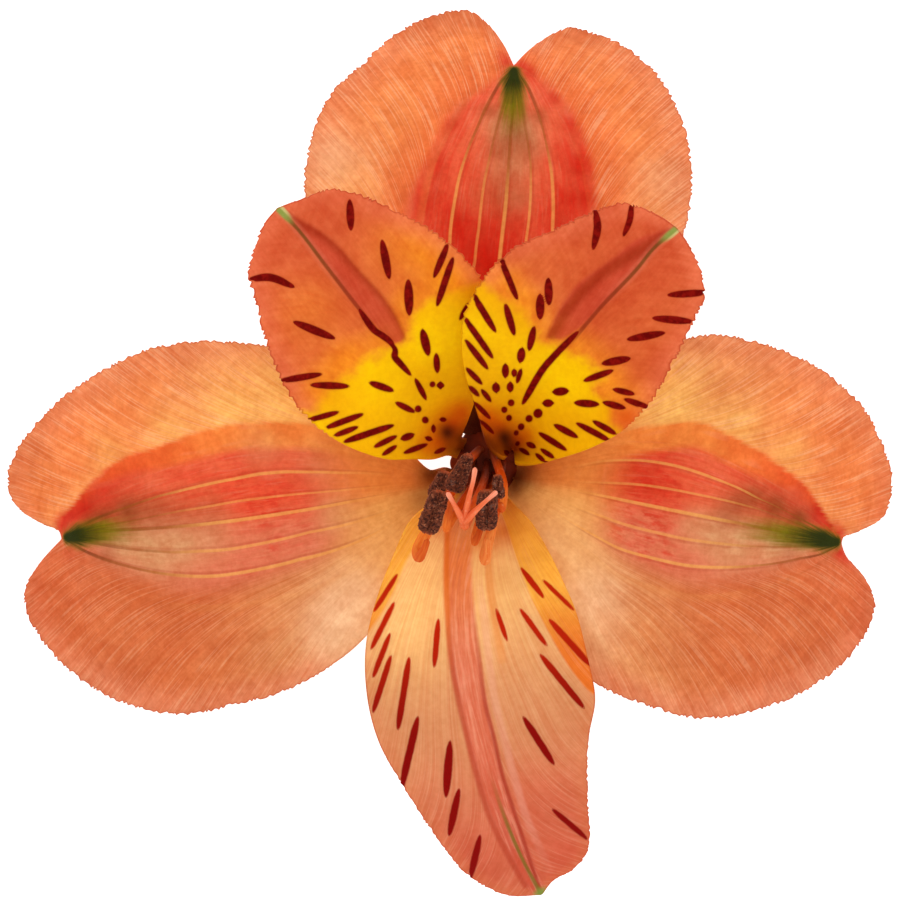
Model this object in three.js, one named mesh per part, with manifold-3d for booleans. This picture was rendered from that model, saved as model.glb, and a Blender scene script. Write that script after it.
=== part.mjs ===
import * as THREE from 'three';
import { mergeVertices } from 'three/addons/utils/BufferGeometryUtils.js';
import Module from 'manifold-3d';

// A single alstroemeria flower, picked with its short stalk. It faces up and lies on its back:
// the ends of its three outer tepals and the stalk rest on the surface, z = 0.
// Millimetres, +Z up, origin under the middle of the flower.

const wasm = await Module();
wasm.setup();

// ---------------------------------------------------------------- driving sizes
const FLOWER_WIDTH = 68;          // over the ends of the two side tepals
const TEPAL_THICKNESS = 0.6;
const GAP = 0.3;                  // between pieces that touch
const CLAW_FOOT = 8.9;            // height of a claw's foot, at half its thickness
const FOOT_SLANT = 0.15;          // how far the slanted end of a claw dips below that
const OVARY_TOP = CLAW_FOOT - FOOT_SLANT - GAP;
const CLAW_RING_RADIUS = 2.4;     // the outer claws stand on this ring
const INNER_CLAW_RING_RADIUS = 2.2;
const CLAW_WIDTH = 1.4;
const OVARY_RADIUS = 2.6;
const OVARY_FOOT_RADIUS = 1.25;
const RIB_COUNT = 6;
const RIB_DEPTH = 0.07;           // share of the ovary's radius
const STALK_RADIUS = 1.05;
const FILAMENT_FOOT_RADIUS = 0.34;
const FILAMENT_TIP_RADIUS = 0.26;
const STYLE_FOOT_RADIUS = 0.3;
const STYLE_RADIUS = 0.34;
const STIGMA_RADIUS = 0.2;
const ANTHER_FLATNESS = 0.7;      // an anther's depth over its width


// How a tepal is bent. The blade's height falls with distance from the claw's foot, where a
// millimetre to the side counts as SIDE_DROOP of one along the blade.
const SIDE_DROOP = 0.75;
const CLAW_CUPPING = 0.18;        // rise of a claw's edges, per square millimetre off the midrib
const CUPPING_REACH = 4;          // distance over which the cupping fades
const EDGE_WAVES = 5.4;           // waves along each edge
const BEND = 0.8;                 // softness of the bend where a blade meets the surface
const TOOTH_DEPTH = 0.22;         // scallops along the lobes' edges

// Facets: rows of a tepal from claw to tip, columns from its midrib to each edge, sides of a tube.
const TEPAL_ROWS = 34;
const HALF_COLUMNS = 3;
const TUBE_SIDES = 6;
const TUBE_STEPS = 16;
const ANTHER_SIDES = 10;
const STALK_SIDES = 8;

// ---------------------------------------------------------------- plan sheet
// The flower's plan is drawn on a square sheet, seen from above, with x to the right and y down.
// The flower is SHEET_SPAN divisions wide on it, and a height beside a sheet place is in millimetres.
const SHEET_SPAN = 890;
const SHEET_MIDDLE = [450, 451.5];
const THROAT = [487, 463];        // the ovary's middle on the sheet
const MM_PER_DIVISION = FLOWER_WIDTH / SHEET_SPAN;

function fromSheet([x, y], z = 0) {
  return new THREE.Vector3(
    (x - SHEET_MIDDLE[0]) * MM_PER_DIVISION,
    (SHEET_MIDDLE[1] - y) * MM_PER_DIVISION,
    z,
  );
}

// ---------------------------------------------------------------- the six tepals
// ringAngle is where the claw stands on the ovary, in degrees from +X. The left and right edges run
// from claw to tip, as seen by someone at the claw who looks along the blade, and the midrib lies
// between them. profile gives the height of the blade at each distance from the claw's foot.
// lift raises (or with a minus lowers) an edge, so that neighbours pass over each other.
const TEPALS = [
  {
    name: 'outer_tepal_left',
    colour: 0xea7a48,
    ringAngle: 210,
    left: [
      [457, 500], [434, 524], [408, 560], [392, 597], [367, 635], [330, 667], [285, 692], [235, 706],
      [182, 716], [130, 707], [85, 686], [45, 650], [23, 612], [22, 590], [35, 567], [54, 546],
    ],
    right: [
      [446, 468], [431, 470], [417, 459], [398, 430], [365, 393], [318, 360], [266, 345], [205, 340],
      [150, 347], [100, 370], [52, 404], [14, 448], [4, 478], [12, 505], [36, 522], [57, 530],
    ],
    midrib: [[415, 488], [351, 500], [309, 508], [219, 522], [163, 526], [101, 530], [61, 539]],
    profile: [[0, CLAW_FOOT], [1.2, 11.2], [3, 13], [6, 14.2], [10, 14.8], [15, 14.4], [20, 12.6],
      [25, 9.3], [29, 5.1], [31.5, 1.3], [33, -1.2], [37, -5]],
    lift: { left: 0, right: 0 },
    wave: 0.45,
  },
  {
    name: 'outer_tepal_right',
    colour: 0xea7a48,
    ringAngle: 330,
    left: [
      [527, 467], [541, 453], [558, 430], [590, 395], [632, 358], [684, 338], [722, 334], [775, 346],
      [825, 370], [868, 410], [890, 455], [896, 482], [887, 516], [864, 530], [846, 535],
    ],
    right: [
      [509, 500], [514, 527], [525, 565], [545, 612], [570, 652], [593, 682], [640, 704], [700, 720],
      [760, 711], [815, 688], [858, 652], [878, 607], [868, 580], [847, 556],
    ],
    midrib: [[560, 487], [595, 494], [667, 509], [748, 525], [796, 534], [842, 543]],
    profile: [[0, CLAW_FOOT], [1.2, 11.2], [3, 13], [6, 14.2], [9, 14.7], [13, 14.2], [17, 12.3],
      [21, 9.1], [24.2, 5], [26.6, 1.5], [27.9, -1.2], [32, -5]],
    lift: { left: 0, right: 0 },
    wave: 0.45,
  },
  {
    name: 'outer_tepal_top',
    colour: 0xea7a48,
    ringAngle: 90,
    left: [
      [474, 431], [467, 426], [453, 397], [425, 360], [380, 322], [340, 278], [314, 232], [303, 185], [309, 142],
      [326, 98], [365, 58], [402, 26], [440, 10], [466, 7], [485, 18], [503, 42],
    ],
    right: [
      [497, 420], [512, 396], [545, 364], [592, 330], [640, 292], [674, 255], [690, 215], [693, 168],
      [683, 118], [660, 74], [628, 45], [596, 30], [568, 25], [544, 37], [525, 53],
    ],
    midrib: [[493, 340], [500, 255], [506, 200], [512, 130], [514, 65]],
    profile: [[0, CLAW_FOOT], [1.2, 11.4], [3, 13.4], [6, 14.9], [10, 15.6], [14, 15.2], [19, 13.4],
      [24, 9.8], [27.8, 5], [29.6, 2], [30.8, -1.2], [35, -5]],
    lift: { left: 0, right: 0 },
    wave: 0.45,
  },
  {
    name: 'inner_tepal_upper_left',
    colour: 0xe0602c,
    ringAngle: 150,
    left: [
      [450, 455], [435, 459], [415, 459], [388, 459], [350, 447], [318, 428], [293, 403], [276, 370],
      [264, 338], [256, 305], [248, 275], [254, 248], [264, 226],
    ],
    right: [
      [460, 437], [463, 430], [468, 419], [474, 403], [481, 378], [488, 345], [491, 312], [483, 280], [462, 254], [432, 230],
      [398, 211], [362, 195], [332, 189], [304, 199],
    ],
    midrib: [[425, 398], [392, 350], [360, 310], [326, 266], [300, 232], [278, 209]],
    profile: [[0, CLAW_FOOT], [0.8, 11.8], [2, 14.8], [4, 17.8], [7, 20.6], [11, 23.2], [15, 25.4],
      [19, 27], [23.3, 27.9], [26, 28.2]],
    lift: { left: 0, right: -1.1 },
    wave: 0.25,
  },
  {
    name: 'inner_tepal_upper_right',
    colour: 0xe0602c,
    ringAngle: 30,
    left: [
      [502, 453], [493, 450], [487, 442], [480, 420], [473, 399], [465, 374], [461, 342], [465, 308], [482, 278], [508, 251],
      [545, 233], [580, 217], [618, 203], [650, 212],
    ],
    right: [
      [519, 459], [535, 463], [555, 459], [592, 447], [626, 428], [653, 400], [674, 363], [690, 330],
      [704, 297], [700, 268], [688, 246],
    ],
    midrib: [[538, 395], [562, 355], [598, 310], [635, 271], [653, 249], [676, 229]],
    profile: [[0, CLAW_FOOT], [0.8, 11.8], [2, 15], [4, 18.2], [7, 21.2], [11, 24.1], [15, 26.4],
      [18, 27.7], [21.2, 28.6], [24, 28.9]],
    lift: { left: 1.1, right: 0 },
    wave: 0.25,
  },
  {
    name: 'inner_tepal_lower',
    colour: 0xf0a060,
    ringAngle: 270,
    left: [
      [499, 497], [511, 507], [528, 523], [545, 548], [562, 579], [576, 612], [587, 655], [595, 698],
      [589, 737], [588, 790], [589, 848], [576, 868], [553, 881],
    ],
    right: [
      [468, 494], [450, 500], [430, 506], [411, 520], [396, 550], [377, 598], [366, 645], [367, 695],
      [379, 742], [402, 785], [432, 832], [465, 873], [504, 895],
    ],
    midrib: [[472, 545], [462, 590], [464, 641], [474, 708], [484, 748], [495, 788], [510, 830],
      [526, 865], [542, 895]],
    profile: [[0, CLAW_FOOT], [0.8, 11.4], [2.4, 14.4], [5, 16.6], [9, 18.2], [14, 18.8], [19, 18.2],
      [24, 16.4], [28, 14], [31, 11.6], [34, 9]],
    lift: { left: 0, right: 0 },
    wave: 0.25,
  },
];

const INNER_CLAWS = ['inner_tepal_upper_left', 'inner_tepal_upper_right', 'inner_tepal_lower'];

function smoothStep(from, to, x) {
  const t = THREE.MathUtils.clamp((x - from) / (to - from), 0, 1);
  return t * t * (3 - 2 * t);
}

// Height on a list of [distance, height] knots, as one smooth curve.
function heightOn(profile, distance) {
  const last = profile.length - 1;
  if (distance >= profile[last][0]) return profile[last][1];
  const i = Math.max(0, profile.findIndex(([d]) => d > distance) - 1);
  const slope = (j) => {
    const before = profile[Math.max(j - 1, 0)];
    const after = profile[Math.min(j + 1, last)];
    return (after[1] - before[1]) / (after[0] - before[0]);
  };
  const [d0, z0] = profile[i];
  const [d1, z1] = profile[i + 1];
  const span = d1 - d0;
  const t = THREE.MathUtils.clamp((distance - d0) / span, 0, 1);
  const rise = z0 + (z1 - z0) * t * t * (3 - 2 * t);
  return rise + span * (slope(i) * t * (1 - t) ** 2 - slope(i + 1) * t * t * (1 - t));
}

// A blade that comes down to the surface lies flat on it.
function restOnSurface(z, lowest) {
  const above = z - lowest;
  if (above > BEND) return z;
  if (above < -BEND) return lowest;
  return lowest + (above + BEND) ** 2 / (4 * BEND);
}

function clawFoot(tepal) {
  const inner = INNER_CLAWS.includes(tepal.name);
  const radius = inner ? INNER_CLAW_RING_RADIUS : CLAW_RING_RADIUS;
  const angle = THREE.MathUtils.degToRad(tepal.ringAngle);
  const middle = fromSheet(THROAT, CLAW_FOOT);
  const outward = new THREE.Vector3(Math.cos(angle), Math.sin(angle), 0);
  const sideways = new THREE.Vector3(-outward.y, outward.x, 0);
  const foot = middle.addScaledVector(outward, radius);
  return {
    foot,
    left: foot.clone().addScaledVector(sideways, CLAW_WIDTH / 2),
    right: foot.clone().addScaledVector(sideways, -CLAW_WIDTH / 2),
  };
}

// An edge or a midrib as evenly spaced plan points, from the claw's foot to the tip.
function evenPoints(start, sheetPoints) {
  const points = [start.clone().setZ(0), ...sheetPoints.map((p) => fromSheet(p))];
  const curve = new THREE.CatmullRomCurve3(points, false, 'centripetal');
  curve.arcLengthDivisions = 600;
  return curve.getSpacedPoints(TEPAL_ROWS);
}

function tepalGrid(tepal) {
  const claw = clawFoot(tepal);
  const tip = tepal.midrib[tepal.midrib.length - 1];
  const edges = {
    left: evenPoints(claw.left, [...tepal.left, tip]),
    right: evenPoints(claw.right, [...tepal.right, tip]),
  };
  const rib = evenPoints(claw.foot, tepal.midrib);
  const along = fromSheet(tip).sub(claw.foot).setZ(0).normalize();
  const lowest = TEPAL_THICKNESS / 2;

  const heightAt = (point, side, share, row) => {
    const offset = point.clone().sub(claw.foot).setZ(0);
    const a = offset.dot(along);
    const b = along.x * offset.y - along.y * offset.x;
    const distance = Math.hypot(a, SIDE_DROOP * b);
    const progress = row / TEPAL_ROWS;
    const channel = CLAW_CUPPING * b * b * Math.exp(-distance / CUPPING_REACH);
    const lifted = tepal.lift[side] * share ** 2 * Math.sin(Math.PI * progress);
    const lobes = smoothStep(0.3, 0.6, progress) * smoothStep(1, 0.9, progress);
    const wave = tepal.wave * share ** 3 * lobes * Math.sin(2 * Math.PI * EDGE_WAVES * progress);
    return restOnSurface(heightOn(tepal.profile, distance) + channel + lifted + wave, lowest);
  };

  const rows = [];
  for (let row = 0; row < TEPAL_ROWS; row += 1) {
    const progress = row / TEPAL_ROWS;
    const toothed = smoothStep(0.35, 0.5, progress) * smoothStep(1, 0.9, progress);
    const tooth = row % 2 === 0 ? 0 : TOOTH_DEPTH * toothed;
    const line = [];
    for (let column = -HALF_COLUMNS; column <= HALF_COLUMNS; column += 1) {
      const side = column < 0 ? 'left' : 'right';
      const share = Math.abs(column) / HALF_COLUMNS;
      const edge = edges[side][row].clone();
      const inward = rib[row].clone().sub(edge).setLength(tooth);
      edge.add(inward);
      const point = rib[row].clone().lerp(edge, share);
      point.z = heightAt(point, side, share, row);
      line.push(point);
    }
    rows.push(line);
  }
  const end = fromSheet(tip);
  end.z = heightAt(end, 'left', 0, TEPAL_ROWS);
  return { rows, end };
}

// The unit direction across the sheet at each grid point, from the points round it.
function gridNormals(rows, end) {
  const columns = rows[0].length;
  return rows.map((line, r) => line.map((point, c) => {
    const ahead = r + 1 < rows.length ? rows[r + 1][c] : end;
    const behind = r > 0 ? rows[r - 1][c] : point;
    const leftward = line[Math.max(c - 1, 0)];
    const rightward = line[Math.min(c + 1, columns - 1)];
    const forward = ahead.clone().sub(behind);
    const across = leftward.clone().sub(rightward);
    return forward.cross(across).normalize();
  }));
}

// A closed blade: the same triangles on both faces, joined round the rim.
function tepalGeometry(tepal) {
  const { rows, end } = tepalGrid(tepal);
  const normals = gridNormals(rows, end);
  const columns = rows[0].length;
  const half = TEPAL_THICKNESS / 2;
  const vertices = [];
  const addFace = (sign) => {
    const first = vertices.length;
    rows.forEach((line, r) => line.forEach((point, c) => {
      const moved = point.clone().addScaledVector(normals[r][c], sign * half);
      moved.z = Math.max(moved.z, 0);
      vertices.push(moved);
    }));
    const tip = end.clone();
    tip.z = Math.max(tip.z + sign * half, 0);
    vertices.push(tip);
    return first;
  };
  const upper = addFace(1);
  const lower = addFace(-1);
  const index = (first, r, c) => first + r * columns + c;
  const tipIndex = (first) => first + rows.length * columns;
  const triangles = [];
  for (let r = 0; r + 1 < rows.length; r += 1) {
    for (let c = 0; c + 1 < columns; c += 1) {
      const corners = (first) => [
        index(first, r, c), index(first, r + 1, c), index(first, r + 1, c + 1), index(first, r, c + 1),
      ];
      const [p, q, s, t] = corners(upper);
      triangles.push([p, t, s], [p, s, q]);
      const [pl, ql, sl, tl] = corners(lower);
      triangles.push([pl, sl, tl], [pl, ql, sl]);
    }
  }
  const lastRow = rows.length - 1;
  for (let c = 0; c + 1 < columns; c += 1) {
    triangles.push([index(upper, lastRow, c), index(upper, lastRow, c + 1), tipIndex(upper)]);
    triangles.push([index(lower, lastRow, c + 1), index(lower, lastRow, c), tipIndex(lower)]);
  }
  const rim = [];
  for (let c = 0; c < columns; c += 1) rim.push([0, c]);
  for (let r = 1; r < rows.length; r += 1) rim.push([r, columns - 1]);
  rim.push('tip');
  for (let r = lastRow; r > 0; r -= 1) rim.push([r, 0]);
  const rimIndex = (first, place) => (place === 'tip' ? tipIndex(first) : index(first, ...place));
  rim.forEach((place, i) => {
    const next = rim[(i + 1) % rim.length];
    const [a, b] = [rimIndex(upper, place), rimIndex(upper, next)];
    const [c, d] = [rimIndex(lower, place), rimIndex(lower, next)];
    triangles.push([a, c, d], [a, d, b]);
  });
  return closedGeometry(vertices, triangles);
}

function closedGeometry(vertices, triangles) {
  const geometry = new THREE.BufferGeometry();
  const places = vertices.flatMap((v) => [v.x, v.y, v.z]);
  geometry.setAttribute('position', new THREE.Float32BufferAttribute(places, 3));
  geometry.setIndex(triangles.flat());
  return geometry;
}

// ---------------------------------------------------------------- tubes and rounded bodies
// A closed body swept along points. Each ring's radius comes from radiusAt(share, angle), where the
// angle is counted from +X. The ends are closed, and nothing reaches below the surface.
function sweptBody(points, sides, radiusAt) {
  const vertices = [];
  const triangles = [];
  const last = points.length - 1;
  points.forEach((point, i) => {
    const tangent = points[Math.min(i + 1, last)].clone().sub(points[Math.max(i - 1, 0)]).normalize();
    const first = new THREE.Vector3(1, 0, 0).addScaledVector(tangent, -tangent.x).normalize();
    const second = tangent.clone().cross(first);
    for (let k = 0; k < sides; k += 1) {
      const angle = (2 * Math.PI * (k + 0.5)) / sides;
      const reach = radiusAt(i / last, angle);
      const corner = point.clone()
        .addScaledVector(first, reach * Math.cos(angle))
        .addScaledVector(second, reach * Math.sin(angle));
      corner.z = Math.max(corner.z, 0);
      vertices.push(corner);
    }
  });
  for (let i = 0; i < last; i += 1) {
    for (let k = 0; k < sides; k += 1) {
      const next = (k + 1) % sides;
      const [a, b] = [i * sides + k, i * sides + next];
      const [c, d] = [a + sides, b + sides];
      triangles.push([a, b, d], [a, d, c]);
    }
  }
  const start = vertices.push(points[0].clone()) - 1;
  const finish = vertices.push(points[last].clone()) - 1;
  for (let k = 0; k < sides; k += 1) {
    const next = (k + 1) % sides;
    triangles.push([start, next, k], [finish, last * sides + k, last * sides + next]);
  }
  return closedGeometry(vertices, triangles);
}

function smoothPath(points, steps) {
  return new THREE.CatmullRomCurve3(points, false, 'centripetal').getSpacedPoints(steps);
}

// ---------------------------------------------------------------- stamens
// Each filament's route and its anther's two ends: [sheet x, sheet y, height]. A filament rises
// from the ovary, arches forward over the lower tepal and hooks back to its anther.
const STAMENS = [
  {
    route: [[472, 463, 8.9], [463, 477, 14], [443, 504, 20], [426, 533, 23], [417.5, 551, 24.5],
      [419.5, 557, 25.3], [424.5, 548, 26], [428, 538, 26.3]],
    bend: 0.44,
    anther: [[427.5, 532, 26.7], [439.5, 494, 27.8]],
    width: 1.75,
  },
  {
    route: [[479.5, 476, 8.9], [472, 488, 14], [459, 508, 18], [450, 523, 20.6], [446.5, 528.5, 21.8],
      [447.5, 521, 23], [450, 504, 24.4], [452.5, 495, 24.8]],
    bend: 0.3,
    anther: [[453.5, 489, 25.2], [469.5, 453.5, 26.8]],
    width: 1.4,
  },
  {
    route: [[479.5, 450, 8.9], [472, 457, 13.5], [457, 472, 17.5], [441, 488, 20.2], [434, 496, 21.6]],
    bend: 0.36,
    anther: [[434, 492, 22.3], [445, 472, 23.6]],
    width: 1.3,
  },
  {
    route: [[502, 463, 8.9], [499, 483, 14], [495, 512, 19], [488.5, 540, 22.3], [484.5, 556, 24],
      [485.5, 560, 24.9], [487.5, 551, 25.4], [487, 537, 25.5]],
    bend: 0.36,
    anther: [[486, 530, 25.8], [487.5, 489, 27]],
    width: 1.6,
  },
  {
    route: [[493, 452, 8.9], [497.5, 465, 13], [503.5, 485, 16.7], [503, 503, 19.3], [501.5, 509, 20.6],
      [500, 504, 22]],
    bend: 0.3,
    anther: [[498.5, 498, 22.5], [497, 474, 23.6]],
    width: 1.1,
  },
  {
    route: [[494.5, 476, 8.9], [489, 492, 13.6], [480, 518, 17], [474.5, 538, 19.5], [475, 542, 20.4],
      [478, 535, 20.9], [481.5, 526, 21]],
    bend: 0.3,
    anther: [[483, 520.5, 21.3], [485.5, 503, 21.9]],
    width: 0.9,
  },
];

const place = ([x, y, z]) => fromSheet([x, y], z);

function filamentGeometry({ route, bend }) {
  const points = smoothPath(route.map(place), TUBE_STEPS);
  const radiusAt = (share) => {
    const swelling = smoothStep(0.4, 0.8, share);
    const swollen = THREE.MathUtils.lerp(FILAMENT_FOOT_RADIUS, bend, swelling);
    return THREE.MathUtils.lerp(swollen, FILAMENT_TIP_RADIUS, smoothStep(0.85, 1, share));
  };
  return sweptBody(points, TUBE_SIDES, radiusAt);
}

// Two pollen sacs side by side: an oval body with a groove along both faces.
function antherGeometry({ anther, width }) {
  const [foot, head] = anther.map(place);
  const points = [0, 0.08, 0.3, 0.6, 0.88, 1].map((share) => foot.clone().lerp(head, share));
  const radiusAt = (share, angle) => {
    const fullness = Math.sqrt(Math.max(0.06, 1 - (2 * share - 1) ** 4));
    const across = Math.cos(angle) * (width / 2);
    const deep = Math.sin(angle) * (width / 2) * ANTHER_FLATNESS;
    const groove = 1 - 0.18 * smoothStep(0.75, 1, Math.abs(Math.sin(angle)));
    return fullness * groove * Math.hypot(across, deep);
  };
  return sweptBody(points, ANTHER_SIDES, radiusAt);
}

// ---------------------------------------------------------------- style, ovary and stalk
const STYLE_ROUTE = [[487, 463, 8.9], [484, 480, 14], [475, 504, 19.4], [468.5, 518, 22.8], [465, 525, 25],
  [464, 522, 26.6]];
const STIGMA_FORK = [463, 520, 26.4];
const STIGMA_ENDS = [[447, 492, 29.8], [475, 467, 29.6], [497, 491, 30]];

function styleGeometry() {
  const radiusAt = (share) => THREE.MathUtils.lerp(
    STYLE_FOOT_RADIUS, STYLE_RADIUS, smoothStep(0.2, 0.7, share),
  );
  const stem = smoothPath(STYLE_ROUTE.map(place), TUBE_STEPS);
  const parts = [sweptBody(stem, TUBE_SIDES, radiusAt)];
  for (const end of STIGMA_ENDS) {
    const points = smoothPath([place(STIGMA_FORK), place(end)], 4);
    parts.push(sweptBody(points, TUBE_SIDES, () => STIGMA_RADIUS));
  }
  return joined(parts);
}

// The ovary bends from upright under the claws towards its stalk. Its ribs run from end to end.
const OVARY_ROUTE = [[...THROAT, OVARY_TOP], [487, 463.5, 6.9], [487, 475, 4.8], [488, 494, 3.1]];

function ovaryGeometry() {
  const radiusAt = (share, angle) => {
    const outline = THREE.MathUtils.lerp(OVARY_RADIUS, OVARY_FOOT_RADIUS, share ** 1.3);
    return outline * (1 + RIB_DEPTH * Math.cos(RIB_COUNT * angle));
  };
  return sweptBody(smoothPath(OVARY_ROUTE.map(place), 9), 4 * RIB_COUNT, radiusAt);
}

const STALK_LIES_AT = 0.97;       // height of its middle where a flat of its eight sides is down
const STALK_ROUTE = [[488, 499.5, 2.75], [489, 515, 1.75], [492, 545, 1.15], [497, 600, STALK_LIES_AT],
  [507, 700, STALK_LIES_AT], [512, 770, STALK_LIES_AT], [516, 826, STALK_LIES_AT]];

function stalkGeometry() {
  const points = smoothPath(STALK_ROUTE.map(place), TUBE_STEPS);
  return sweptBody(points, STALK_SIDES, () => STALK_RADIUS);
}

// ---------------------------------------------------------------- joining
function solidOf(geometry) {
  const bare = new THREE.BufferGeometry();
  bare.setAttribute('position', geometry.getAttribute('position'));
  bare.setIndex(geometry.getIndex());
  const merged = mergeVertices(bare, 1e-5);
  return new wasm.Manifold(new wasm.Mesh({
    numProp: 3,
    vertProperties: new Float32Array(merged.getAttribute('position').array),
    triVerts: new Uint32Array(merged.getIndex().array),
  }));
}

function joined(geometries) {
  const [first, ...rest] = geometries.map(solidOf);
  const mesh = rest.reduce((sum, solid) => sum.add(solid), first).getMesh();
  const geometry = new THREE.BufferGeometry();
  geometry.setAttribute('position', new THREE.Float32BufferAttribute(mesh.vertProperties, 3));
  geometry.setIndex(Array.from(mesh.triVerts));
  return geometry;
}

// ---------------------------------------------------------------- the flower
const flower = new THREE.Group();

function addPiece(name, geometry, color, roughness) {
  const material = new THREE.MeshStandardMaterial({ color, roughness, metalness: 0 });
  geometry.computeVertexNormals();
  const mesh = new THREE.Mesh(geometry, material);
  mesh.name = name;
  flower.add(mesh);
}

for (const tepal of TEPALS) {
  addPiece(tepal.name, tepalGeometry(tepal), tepal.colour, 0.5);
}
STAMENS.forEach((stamen, i) => {
  addPiece(`filament_${i + 1}`, filamentGeometry(stamen), 0xe8703a, 0.45);
  addPiece(`anther_${i + 1}`, antherGeometry(stamen), 0x3a1a18, 0.9);
});
addPiece('style', styleGeometry(), 0xf07a4c, 0.45);
addPiece('ovary', ovaryGeometry(), 0x6c8a34, 0.5);
addPiece('pedicel', stalkGeometry(), 0x7c9440, 0.55);

export default flower;
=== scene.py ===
import math

import bpy
import numpy as np
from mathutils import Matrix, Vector


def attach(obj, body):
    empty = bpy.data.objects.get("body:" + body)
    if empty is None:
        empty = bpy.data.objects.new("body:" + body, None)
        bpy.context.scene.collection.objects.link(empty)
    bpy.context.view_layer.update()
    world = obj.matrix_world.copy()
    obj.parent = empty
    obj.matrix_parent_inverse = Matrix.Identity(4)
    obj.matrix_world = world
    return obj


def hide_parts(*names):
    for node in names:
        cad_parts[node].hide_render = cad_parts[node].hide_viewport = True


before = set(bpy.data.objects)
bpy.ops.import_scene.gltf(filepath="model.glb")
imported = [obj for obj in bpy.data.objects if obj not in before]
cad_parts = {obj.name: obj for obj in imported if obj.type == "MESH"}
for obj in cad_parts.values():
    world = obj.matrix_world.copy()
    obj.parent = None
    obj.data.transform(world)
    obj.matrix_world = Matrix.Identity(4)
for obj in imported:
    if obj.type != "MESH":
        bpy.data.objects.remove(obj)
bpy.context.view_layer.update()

# A single alstroemeria flower that lies on its back. Plans and sizes are in millimetres until a
# mesh is made, and the surface is at height 0.
MM = 0.001

# ------------------------------------------------------------------ the plan sheet
# The flower's plan is drawn on a square sheet, x to the right and y down, where the flower is
# SHEET_SPAN divisions wide.
FLOWER_WIDTH = 68.0
SHEET_SPAN = 890.0
SHEET_MIDDLE = np.array([450.0, 451.5])
DIVISION = FLOWER_WIDTH / SHEET_SPAN


def from_sheet(places):
    """Sheet places as plan points in millimetres."""
    plan = (np.asarray(places, float) - SHEET_MIDDLE) * DIVISION
    plan[..., 1] *= -1
    return plan


def in_space(places):
    """Sheet places with heights as points in millimetres."""
    places = np.asarray(places, float)
    return np.column_stack([from_sheet(places[:, :2]), places[:, 2]])


# ------------------------------------------------------------------ camera, surface and light
CAMERA_HEIGHT = 3000.0
VIEW_WIDTH = 68.76         # what the view spans at the middle of the flower's height
MIDDLE_HEIGHT = 15.0
VIEW_MIDDLE = from_sheet([450.0, 450.0])


def linked(name, data):
    """A new object in the scene."""
    thing = bpy.data.objects.new(name, data)
    bpy.context.scene.collection.objects.link(thing)
    return thing


def add_camera():
    data = bpy.data.cameras.new("camera")
    data.lens = data.sensor_width * (CAMERA_HEIGHT - MIDDLE_HEIGHT) / VIEW_WIDTH
    camera = linked("camera", data)
    camera.location = (*(VIEW_MIDDLE * MM), CAMERA_HEIGHT * MM)
    bpy.context.scene.camera = camera


def add_lamp(name, place, size, power):
    """A square soft lamp that faces the flower."""
    data = bpy.data.lights.new(name, "AREA")
    data.size = size
    data.energy = power
    lamp = linked(name, data)
    lamp.location = place
    lamp.rotation_euler = (-Vector(place)).to_track_quat("-Z", "Y").to_euler()


# ------------------------------------------------------------------ finishes
def paint(code):
    """A colour in the light's own scale from its six-figure screen code."""
    screen = [int(code[i : i + 2], 16) / 255 for i in (0, 2, 4)]
    return (*[c / 12.92 if c <= 0.04045 else ((c + 0.055) / 1.055) ** 2.4 for c in screen], 1.0)


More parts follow.
